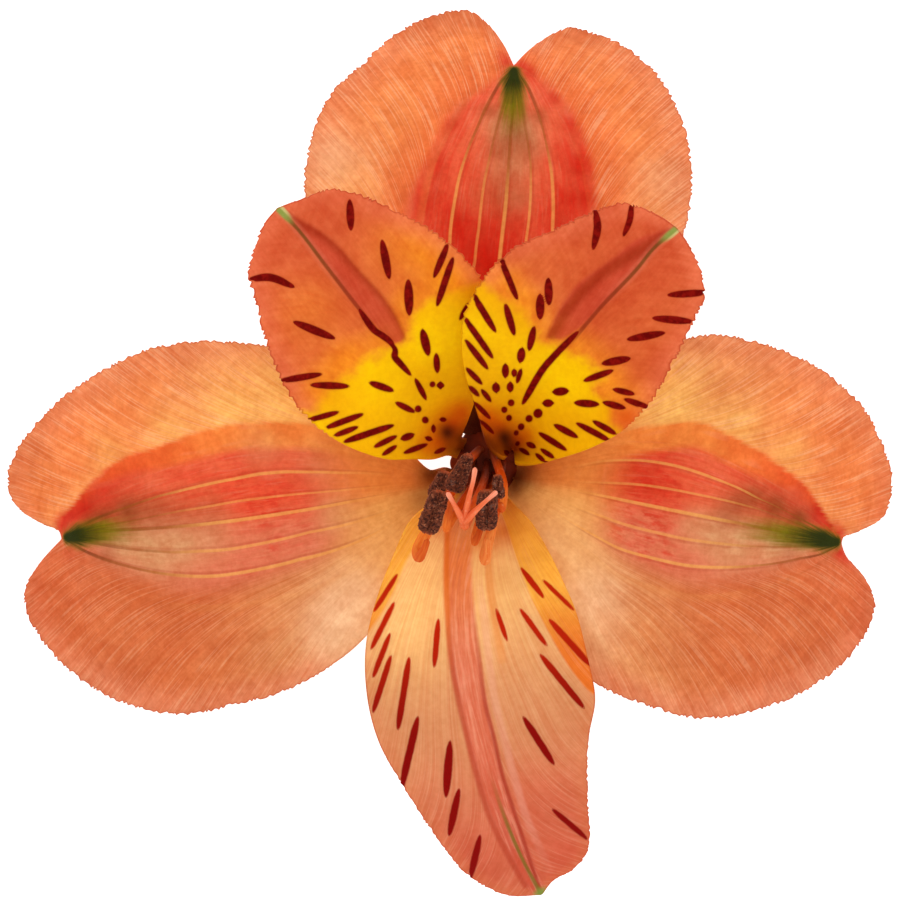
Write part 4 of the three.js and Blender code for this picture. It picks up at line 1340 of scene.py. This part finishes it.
def inner_lower_finish():
    f = Petal("lower inner petal")
    progress = f.progress
    threads = f.lanes(f.grain, 2.2, 0.25, 3.0, 0.65)
    hairs = f.lanes(f.grain, 7.0, 0.3, 0.0, 0.5)
    fibres = f.lanes(f.strands, 3.0, 0.25, 3.0, 0.6)
    clouds = f.noise(f.place(), 260.0, 3.0)
    speckle = f.noise(f.place(), 1900.0, 2.0, 0.6)

    colour = f.coats(
        f.blend("FBC880", "E09A68", f.step(progress, 0.2, 0.55)),
        (f.step(progress, 0.5, 0.85), "DE7C5A"),
        ("flush", "D65E42", 0.8),
        ("bright", "FFD284", 0.85),
        ("amber", "EC8A30"),
        (f.step(f.margin, 1.4, 0.2, 0.0, 0.3), "E08454"),
    )
    # Deeper gold where another tepal lies behind, and along the strip: painted light, the deeper
    # colour of light that comes through two layers.
    gold = f.blend("FDBA3C", "EC7A20", f.step(progress, 0.24, 0.42))
    doubled = f.step(f.measure("doubled"), -0.1, 0.3)
    under = f.work("MAXIMUM", doubled, f.step(f.measure("strip"), -0.12, 0.12))
    colour = f.mix(f.times(under, 0.9), colour, gold)
    colour = f.shaded(
        colour,
        (clouds, (0.96, 0.92, 0.9), (1.03, 1.06, 1.08)),
        (threads, (0.95, 0.84, 0.78), (1.03, 1.12, 1.14)),
    )
    colour = f.coats(colour, (f.step(hairs, 0.56, 0.7, 0.0, 0.12), "FBC8A0"))

    # The channel down the middle, and the lines along it.
    channel = f.blend("F08030", "E67E60", f.step(progress, 0.12, 0.42))
    channel = f.coats(channel, (f.step(progress, 0.6, 0.9), "D46048"))
    channel = f.shaded(channel, (fibres, (0.94, 0.8, 0.76), (1.04, 1.14, 1.18)))
    channel = f.coats(
        channel,
        (f.step(fibres, 0.5, 0.64, 0.0, 0.5), "F4A484"),
        (f.step(fibres, 0.5, 0.36, 0.0, 0.45), "D8583A"),
    )
    inside = f.step(f.measure("band"), -0.2, 0.3, 0.0, 0.8)
    colour = f.mix(f.times(inside, f.step(progress, 0.0, 0.2)), colour, channel)

    def line(name, far, near, *along):
        return f.times(f.step(f.measure(name), far, near), f.step(progress, *along))

    lit_edge = line("pale_line", 0.45, 0.12, 0.96, 0.75)
    lit_edge = f.times(lit_edge, f.step(progress, 0.18, 0.3, 0.0, 0.3))
    gold_line = line("gold_line", 0.5, 0.1, 0.5, 0.35, 0.0, 0.6)
    colour = f.coats(colour, (lit_edge, "F2B49C"), (gold_line, "EE9848"))
    left_paint = f.blend("E8781C", "C04A30", f.step(progress, 0.25, 0.45))
    colour = f.mix(line("left_line", 0.36, 0.06, 0.04, 0.14, 0.0, 0.75), colour, left_paint)
    rib = f.times(f.step(f.size_of(f.measure("across")), 0.26, 0.06), f.step(progress, 0.66, 0.85))
    colour = f.coats(
        colour,
        (line("right_line", 0.26, 0.04, 0.2, 0.6, 0.0, 0.85), "B4402C"),
        (rib, "84702A", 0.85),
        (f.step(f.from_tip, 0.9, 0.3), "8C9A44"),
    )
    colour = f.rimmed(colour, 0.3, 0.5, "C8502A")
    # The last coat darkens towards the throat: partly the claw's own colour, partly painted shade
    # of the deep throat.
    colour = f.coats(
        colour, ("brown", "9A4A1C", 0.8), (f.step(f.from_throat, 4.0, 2.4, 0.0, 0.9), "7A3414")
    )

    spot = f.ragged(f.measure("marks"), speckle, 0.08)
    mark_paint = f.blend("C42606", "900A06", f.step(progress, 0.3, 0.6))
    colour = f.mix(f.step(spot, -0.1, 0.05), colour, mark_paint)
    colour = f.shaded(colour, (speckle, (0.97, 0.94, 0.9), (1.02, 1.04, 1.06)))
    reliefs = (threads, 0.5), (fibres, 0.4), (speckle, 0.3)
    return f.petal(colour, clouds, (0.44, 0.58), 0.03, 0.3, *reliefs)


def add_tepals():
    finishes = {
        "outer": (outer_finish(), "outer_tepal"),
        "inner_tepal_upper": (inner_upper_finish(), "inner_tepal_upper"),
        "inner_tepal_lower": (inner_lower_finish(), "inner_tepal_lower"),
    }
    for name in TEPALS:
        key = next(start for start in finishes if name.startswith(start))
        material, slot = finishes[key]
        vertices, faces, numbers, tracks = blade(name)
        piece = made_object(f"{name}_blade", vertices, faces, material, numbers, tracks)
        stands_for(piece, [name])


# ------------------------------------------------------------------ stamens, style and stalk
# Each filament's route, the radius of its arch, its anther's foot and head, the anther's width, how
# wide it is at the foot and head, how far its two sacs stand apart, and how pale the arch is.
# A place is sheet x, sheet y and height.
BURIED_FOOT = 8.2          # height of a foot inside the ovary's top
STAMENS = [
    {
        "route": [
            (472, 463, 8.9), (463, 477, 14), (443, 504, 20), (426, 533, 23), (417.5, 551, 24.5),
            (419.5, 557, 25.3), (424.5, 548, 26), (428, 538, 26.3),
        ],
        "arch": 0.46,
        "anther": [(426.5, 533, 26.7), (441, 490, 27.8)],
        "width": 1.85,
        "ends": (1.0, 0.82),
        "parting": 1.12,
    },
    {
        "route": [
            (479.5, 476, 8.9), (472, 488, 14), (459, 508, 18), (450, 523, 20.6),
            (446.5, 528.5, 21.8), (447.5, 521, 23), (450, 504, 24.4), (452.5, 495, 24.8),
        ],
        "arch": 0.3,
        "anther": [(452, 491, 25.2), (469.5, 453.5, 26.8)],
        "width": 1.6,
        "ends": (1.12, 0.6),
        "parting": 0.95,
    },
    {
        "route": [
            (479.5, 450, 8.9), (472, 457, 13.5), (457, 472, 17.5), (441, 488, 20.2),
            (434, 496, 21.6),
        ],
        "arch": 0.36,
        "anther": [(433, 497, 22.1), (447, 471, 23.6)],
        "width": 1.3,
        "ends": (1.0, 0.9),
        "parting": 1.0,
    },
    {
        "route": [
            (502, 463, 8.9), (499, 483, 14), (495, 512, 19), (488.5, 540, 22.3), (484.5, 556, 24),
            (485.5, 560, 24.9), (487.5, 551, 25.4), (487, 537, 25.5),
        ],
        "arch": 0.42,
        "anther": [(486, 530, 25.8), (487.5, 489, 27)],
        "width": 1.75,
        "ends": (1.0, 0.9),
        "parting": 1.05,
        "pale": 0.8,
    },
    {
        "route": [
            (493, 452, 8.9), (497.5, 465, 13), (503.5, 485, 16.7), (503, 503, 19.3),
            (501.5, 509, 20.6), (500, 504, 22),
        ],
        "arch": 0.3,
        "anther": [(498.5, 498, 22.5), (497, 474, 23.6)],
        "width": 1.15,
        "ends": (1.0, 0.6),
        "parting": 0.9,
    },
    {
        "route": [
            (494.5, 476, 8.9), (489, 492, 13.6), (480, 518, 17), (474.5, 538, 19.5),
            (475, 542, 20.4), (478, 535, 20.9), (481.5, 526, 21),
        ],
        "arch": 0.3,
        "anther": [(483, 520.5, 21.3), (485.5, 503, 21.9)],
        "width": 0.9,
        "ends": (1.0, 0.8),
        "parting": 1.0,
    },
]
FILAMENT_FOOT_RADIUS, FILAMENT_TIP_RADIUS = 0.34, 0.24
SAC_SPACING = 0.235        # how far a sac's middle is from the anther's, as a share of its width
SAC_REACH = 0.505          # how far a sac's outer side is from the anther's middle, likewise
ANTHER_SWAY = np.array([0.0, 0.0, 0.12])
GRAIN_RADIUS = 0.055
GRAINS_PER_SQUARE_METRE = 2.2e7
GRAIN_SEED = 5
GRAIN_SIZES = (0.65, 1.25)  # the least and the most, as shares of the radius
STYLE_ROUTE = [
    (487, 463, 8.9), (484, 480, 14), (475, 504, 19.4), (468.5, 518, 22.8), (465, 525, 25),
    (464, 522, 26.6),
]
STYLE_FOOT_RADIUS, STYLE_RADIUS = 0.3, 0.38
STIGMA_FORK = (464, 522, 26.5)
STIGMA_BRANCHES = [
    [STIGMA_FORK, (455, 506, 28.4), (450, 497, 29.5), (447, 492, 29.8)],
    [STIGMA_FORK, (468, 500, 28.2), (473, 480, 29.2), (475, 467, 29.6)],
    [STIGMA_FORK, (479, 507, 28.6), (490, 497, 29.6), (497, 491, 30.0)],
]
OVARY_ROUTE = [(487, 463, 8.75), (487, 463.5, 6.9), (487, 475, 4.8), (488, 497, 2.9)]
OVARY_RADIUS, OVARY_FOOT_RADIUS = 2.68, 1.2
RIB_COUNT = 6
STALK_ROUTE = [
    (488, 494, 3.1), (488, 499.5, 2.75), (489, 515, 1.75), (492, 545, 1.15), (497, 600, 0.99),
    (507, 700, 0.99), (512, 770, 0.99), (516, 826, 0.99),
]
STALK_RADIUS = 0.98
TUBE_LINE_LENGTH = 1.6     # a bent tube's length over the longest side of its box
# Rings along each round body and sides round it.
FILAMENT_FINENESS, ANTHER_FINENESS = (90, 16), (56, 40)
STYLE_FINENESS, STIGMA_FINENESS = (80, 18), (40, 14)
OVARY_FINENESS, STALK_FINENESS = (72, 96), (140, 48)


def from_ovary(route):
    """A route with its foot carried down into the ovary's top."""
    return [(*route[0][:2], BURIED_FOOT), *route]


def swept(route, fineness, radius_at):
    """A closed body along a route. radius_at gets the share along it and the angle from +X."""
    rings, sides = fineness
    points = smooth_curve(in_space(route), rings)
    tangents = np.gradient(points, axis=0)
    tangents /= np.linalg.norm(tangents, axis=1, keepdims=True)
    first = np.array([1.0, 0.0, 0.0]) - tangents * tangents[:, :1]
    first /= np.linalg.norm(first, axis=1, keepdims=True)
    second = np.cross(tangents, first)
    share = np.linspace(0, 1, rings)[:, None]
    angle = (np.arange(sides) / sides * 2 * np.pi)[None, :]
    radius = np.broadcast_to(radius_at(share, angle), (rings, sides))
    body = (points[:, None] + (radius * np.cos(angle))[..., None] * first[:, None]
            + (radius * np.sin(angle))[..., None] * second[:, None])
    vertices = np.vstack([body.reshape(-1, 3), points[:1], points[-1:]])
    vertices[:, 2] = np.maximum(vertices[:, 2], 0)
    corner = np.arange(rings * sides).reshape(rings, sides)
    turned = np.roll(corner, -1, axis=1)
    faces = np.stack([corner[:-1], turned[:-1], turned[1:], corner[1:]], axis=-1)
    faces = faces.reshape(-1, 4).tolist()
    base, top = rings * sides, rings * sides + 1
    faces += [(base, b, a) for a, b in zip(corner[0], turned[0])]
    faces += [(top, a, b) for a, b in zip(corner[-1], turned[-1])]
    along = np.concatenate([np.repeat(share[:, 0], sides), [0, 1]])
    around = np.concatenate([np.tile(angle[0], rings), [0, 0]])
    return vertices, faces, along, around


def rounded_ends(share, low, high):
    """Full in the middle of a body, closing round over its first and last parts."""
    start = np.sqrt(np.clip(1 - (1 - np.clip(share / low, 0, 1)) ** 2, 0.0004, 1))
    finish = np.sqrt(np.clip(1 - (1 - np.clip((1 - share) / high, 0, 1)) ** 2, 0.0004, 1))
    return start * finish


def filament_finish():
    f = Finish("filament")
    along = f.measure("along")
    speckle = f.noise(f.place(), 2600.0, 3.0, 0.6)
    fibres = f.lanes(f.track("lines"), 6.0, 0.6)
    colour = f.coats(
        f.blend("8A3410", "DA5410", f.step(along, 0.15, 0.5)),
        (f.step(along, 0.55, 0.75), "EC7C30"),
        (f.step(along, 0.82, 0.95), "D05820"),
        (f.times(f.measure("pale"), f.step(along, 0.5, 0.8)), "EA8440"),
    )
    colour = f.shaded(colour, (fibres, (0.92, 0.72, 0.6), (1.04, 1.18, 1.25)))
    colour = f.coats(colour, (f.step(speckle, 0.6, 0.75, 0.0, 0.4), "F6A066"))
    return f.close(colour, 0.5, f.relief(fibres, 0.012), gloss=0.03, glow=0.1)


def anther_finish():
    f = Finish("anther")
    grit = f.noise(f.place(), 5200.0, 4.0, 0.65)
    clouds = f.noise(f.place(), 1500.0, 2.0)
    seam = f.step(f.size_of(f.work("SINE", f.measure("around"))), 0.3, 0.02)
    ends = f.step(f.size_of(f.plus(f.measure("along"), -0.5)), 0.4, 0.5)
    # The pale grey clouds are a painted highlight on the sacs.
    colour = f.coats(
        f.blend("2A0E08", "7A3A22", f.step(grit, 0.35, 0.7)),
        (f.step(clouds, 0.58, 0.76, 0.0, 0.5), "8A6A5C"),
        (seam, "9A4424", 0.6),
        (ends, "B4502A", 0.7),
    )
    return f.close(colour, 0.75, f.relief(grit, 0.05), gloss=0.1)


def pollen_finish():
    f = Finish("pollen")
    colour = f.blend("5E2A18", "9A583A", f.step(f.noise(f.place(), 3000.0), 0.4, 0.65))
    grit = f.noise(f.place(), 20000.0)
    return f.close(colour, 0.8, f.relief(grit, 0.01), gloss=0.2)


def style_finish():
    f = Finish("style and stigma")
    fork = f.measure("fork")
    speckle = f.noise(f.place(), 3800.0, 3.0, 0.6)
    fibres = f.lanes(f.track("lines"), 7.0, 0.6)
    colour = f.coats(
        f.blend("7E2C10", "DC5A20", f.step(fork, 0.2, 0.6)),
        (f.step(fork, 0.75, 1.2), "EE7240"),
        (f.step(fork, 1.6, 2.0, 0.0, 0.7), "F6A080"),
    )
    colour = f.shaded(colour, (fibres, (0.94, 0.78, 0.7), (1.03, 1.12, 1.18)))
    colour = f.coats(colour, (f.step(speckle, 0.58, 0.75, 0.0, 0.4), "FDB298"))
    return f.close(colour, 0.45, f.relief(speckle, 0.012), gloss=0.15, glow=0.12)


def green_finish():
    f = Finish("green stalk")
    fibres = f.lanes(f.track("lines"), 4.0, 0.35, 3.0)
    clouds = f.noise(f.place(), 240.0, 3.0)
    ribs = f.work("COSINE", f.times(f.measure("around"), float(RIB_COUNT)))
    # Lighter on the ribs and darker between them: painted light and shade of the ribbing.
    colour = f.coats(
        f.blend("7E9444", "95A052", f.step(clouds, 0.35, 0.7)),
        (f.step(ribs, 0.4, 1.0, 0.0, 0.5), "A8B066"),
        (f.step(ribs, -0.5, -1.0, 0.0, 0.5), "5C7430"),
        (f.step(fibres, 0.55, 0.75, 0.0, 0.35), "B4724A"),
        (f.step(f.measure("along"), 0.96, 1.0, 0.0, 0.7), "C9C98A"),
    )
    # The ovary's top, at the floor of the throat, is dark brown: partly its own colour, partly
    # painted shade of the deep throat.
    crown = f.blend("321208", "8A3410", f.step(clouds, 0.3, 0.7))
    colour = f.mix(f.measure("crown"), colour, crown)
    return f.close(colour, 0.5, f.relief(fibres, 0.04), gloss=0.15, glow=0.05)


def mesh_measures(vertices, along, around, girth):
    """The fields that a tube's finish reads: shares along it and round it, and its own lines."""
    length = float(np.ptp(vertices, axis=0).max()) * TUBE_LINE_LENGTH
    lines = np.column_stack([around * girth, along * length, np.full(len(along), girth)])
    return {"along": along, "around": around}, {"lines": lines}


def add_stamens():
    filament, anther = filament_finish(), anther_finish()
    anthers = []
    for number, stamen in enumerate(STAMENS, 1):

        def thickness(share, angle):
            swelling = soft_step(0.4, 0.8, share)
            swollen = FILAMENT_FOOT_RADIUS + (stamen["arch"] - FILAMENT_FOOT_RADIUS) * swelling
            drawn = soft_step(0.86, 1, share)
            full = swollen + (FILAMENT_TIP_RADIUS - swollen) * drawn
            return full * rounded_ends(share, 0.002, 0.01) * (1 + 0.03 * np.cos(3 * angle))

        route = from_ovary(stamen["route"])
        vertices, faces, along, around = swept(route, FILAMENT_FINENESS, thickness)
        numbers, tracks = mesh_measures(vertices, along, around, 0.44)
        numbers["pale"] = np.full(len(along), stamen.get("pale", 0.0))
        piece = made_object(f"filament_{number}_arched", vertices, faces, filament, numbers, tracks)
        stands_for(piece, [f"filament_{number}"])

        width = stamen["width"]
        spacing = SAC_SPACING * stamen["parting"]
        centre, sac = spacing * width, (SAC_REACH - spacing) * width
        at_foot, at_head = stamen["ends"]
        foot, head = (np.array(end, float) for end in stamen["anther"])
        inner_places = [foot * (1 - s) + head * s + ANTHER_SWAY for s in (0.3, 0.7)]
        route = [foot, *inner_places, head]

        def sacs(share, angle):
            reach = centre * np.abs(np.cos(angle))
            reach = reach + np.sqrt(np.maximum(sac**2 - (centre * np.sin(angle)) ** 2, 0.01))
            waist = 1 - 0.06 * np.sin(share * np.pi * 3) ** 2
            taper = at_foot + (at_head - at_foot) * share
            return reach * rounded_ends(share, 0.2, 0.16) * waist * taper

        vertices, faces, along, around = swept(route, ANTHER_FINENESS, sacs)
        numbers, tracks = mesh_measures(vertices, along, around, width / 2)
        piece = made_object(f"anther_{number}_sacs", vertices, faces, anther, numbers, tracks)
        stands_for(piece, [f"anther_{number}"])
        anthers.append(piece)
    return anthers


def pollen_tree(material):
    """Scatters grains over a surface. Returns the tree and its inputs' identifiers by name."""
    tree = bpy.data.node_groups.new("pollen grains", "GeometryNodeTree")
    socket = tree.interface.new_socket
    socket("Geometry", in_out="INPUT", socket_type="NodeSocketGeometry")
    kinds = {"Grain radius": "Float", "Grains per square metre": "Float", "Seed": "Int"}
    inputs = {
        name: socket(name, in_out="INPUT", socket_type="NodeSocket" + kind).identifier
        for name, kind in kinds.items()
    }
    socket("Geometry", in_out="OUTPUT", socket_type="NodeSocketGeometry")
    add = tree.nodes.new
    given, made = add("NodeGroupInput"), add("NodeGroupOutput")
    scatter = add("GeometryNodeDistributePointsOnFaces")
    scatter.distribute_method = "RANDOM"
    grain = add("GeometryNodeMeshIcoSphere")
    grain.inputs["Subdivisions"].default_value = 1
    vary = add("FunctionNodeRandomValue")
    vary.data_type = "FLOAT"
    vary.inputs[2].default_value, vary.inputs[3].default_value = GRAIN_SIZES
    instance = add("GeometryNodeInstanceOnPoints")
    real, coat = add("GeometryNodeRealizeInstances"), add("GeometryNodeSetMaterial")
    coat.inputs["Material"].default_value = material
    for source, output, target, name in (
        (given, "Geometry", scatter, "Mesh"),
        (given, "Grains per square metre", scatter, "Density"),
        (given, "Seed", scatter, "Seed"),
        (given, "Seed", vary, "Seed"),
        (given, "Grain radius", grain, "Radius"),
        (scatter, "Points", instance, "Points"),
        (scatter, "Rotation", instance, "Rotation"),
        (grain, "Mesh", instance, "Instance"),
        (vary, 1, instance, "Scale"),
        (instance, "Instances", real, "Geometry"),
        (real, "Geometry", coat, "Geometry"),
        (coat, "Geometry", made, "Geometry"),
    ):
        tree.links.new(source.outputs[output], target.inputs[name])
    return tree, inputs


def add_pollen(anthers):
    """Grains on every anther, as one plain mesh."""
    bed = bpy.data.meshes.new("pollen bed")
    vertices, faces = [], []
    for anther in anthers:
        first = len(vertices)
        vertices += [tuple(v.co) for v in anther.data.vertices]
        faces += [tuple(first + i for i in p.vertices) for p in anther.data.polygons]
    bed.from_pydata(vertices, [], faces)
    holder = linked("pollen bed", bed)
    tree, inputs = pollen_tree(pollen_finish())
    scatter = holder.modifiers.new("pollen", "NODES")
    scatter.node_group = tree
    scatter[inputs["Grain radius"]] = GRAIN_RADIUS * MM
    scatter[inputs["Grains per square metre"]] = GRAINS_PER_SQUARE_METRE
    scatter[inputs["Seed"]] = GRAIN_SEED
    shown = holder.evaluated_get(bpy.context.evaluated_depsgraph_get())
    mesh = bpy.data.meshes.new_from_object(shown)
    mesh.name = "pollen"
    holder.modifiers.remove(scatter)
    bpy.data.objects.remove(holder)
    grains = linked("pollen", mesh)
    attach(grains, "root")


def add_style():
    finish = style_finish()

    def stem(share, angle):
        full = STYLE_FOOT_RADIUS + (STYLE_RADIUS - STYLE_FOOT_RADIUS) * soft_step(0.2, 0.7, share)
        return full * rounded_ends(share, 0.002, 0.02)

    def branch(share, angle):
        full = 0.3 - 0.13 * soft_step(0.0, 0.75, share) + 0.03 * soft_step(0.8, 0.95, share)
        return full * rounded_ends(share, 0.06, 0.06) * (1 + 0.06 * np.cos(3 * angle))

    vertices, faces, fork, tracks = [], [], [], []
    pieces = [swept(from_ovary(STYLE_ROUTE), STYLE_FINENESS, stem)]
    pieces += [swept(route, STIGMA_FINENESS, branch) for route in STIGMA_BRANCHES]
    for number, (points, quads, along, around) in enumerate(pieces):
        first = sum(len(v) for v in vertices)
        faces += [tuple(first + i for i in quad) for quad in quads]
        vertices.append(points)
        fork.append(along + (1 if number else 0))
        tracks.append(mesh_measures(points, along, around, 0.3)[1]["lines"])
    piece = made_object("style_and_stigma", np.vstack(vertices), faces, finish,
                        {"fork": np.concatenate(fork)}, {"lines": np.vstack(tracks)})
    stands_for(piece, ["style"])


def add_stalk():
    finish = green_finish()

    def ovary(share, angle):
        full = OVARY_RADIUS + (OVARY_FOOT_RADIUS - OVARY_RADIUS) * share**1.3
        ribs = 1 + 0.07 * np.cos(RIB_COUNT * angle) * (1 - 0.4 * share)
        return full * ribs * rounded_ends(share, 0.04, 0.02)

    def stalk(share, angle):
        ribs = 1 + 0.035 * np.cos(RIB_COUNT * angle) + 0.012 * np.cos(2 * angle + share * 9)
        return STALK_RADIUS * ribs * (1 + 0.12 * (1 - soft_step(0, 0.12, share)))

    for name, shape, fineness, route, radius in (
        ("ovary", "ribbed", OVARY_FINENESS, OVARY_ROUTE, ovary),
        ("pedicel", "stalk", STALK_FINENESS, STALK_ROUTE, stalk),
    ):
        vertices, faces, along, around = swept(route, fineness, radius)
        numbers, tracks = mesh_measures(vertices, along, around, 2.0)
        crown = 1 - soft_step(0.04, 0.12, along) if name == "ovary" else 0 * along
        numbers["crown"] = crown
        piece = made_object(f"{name}_{shape}", vertices, faces, finish, numbers, tracks)
        stands_for(piece, [name])


# ------------------------------------------------------------------ putting it together
add_camera()
add_surface()
light_up()
add_tepals()
add_pollen(add_stamens())
add_style()
add_stalk()
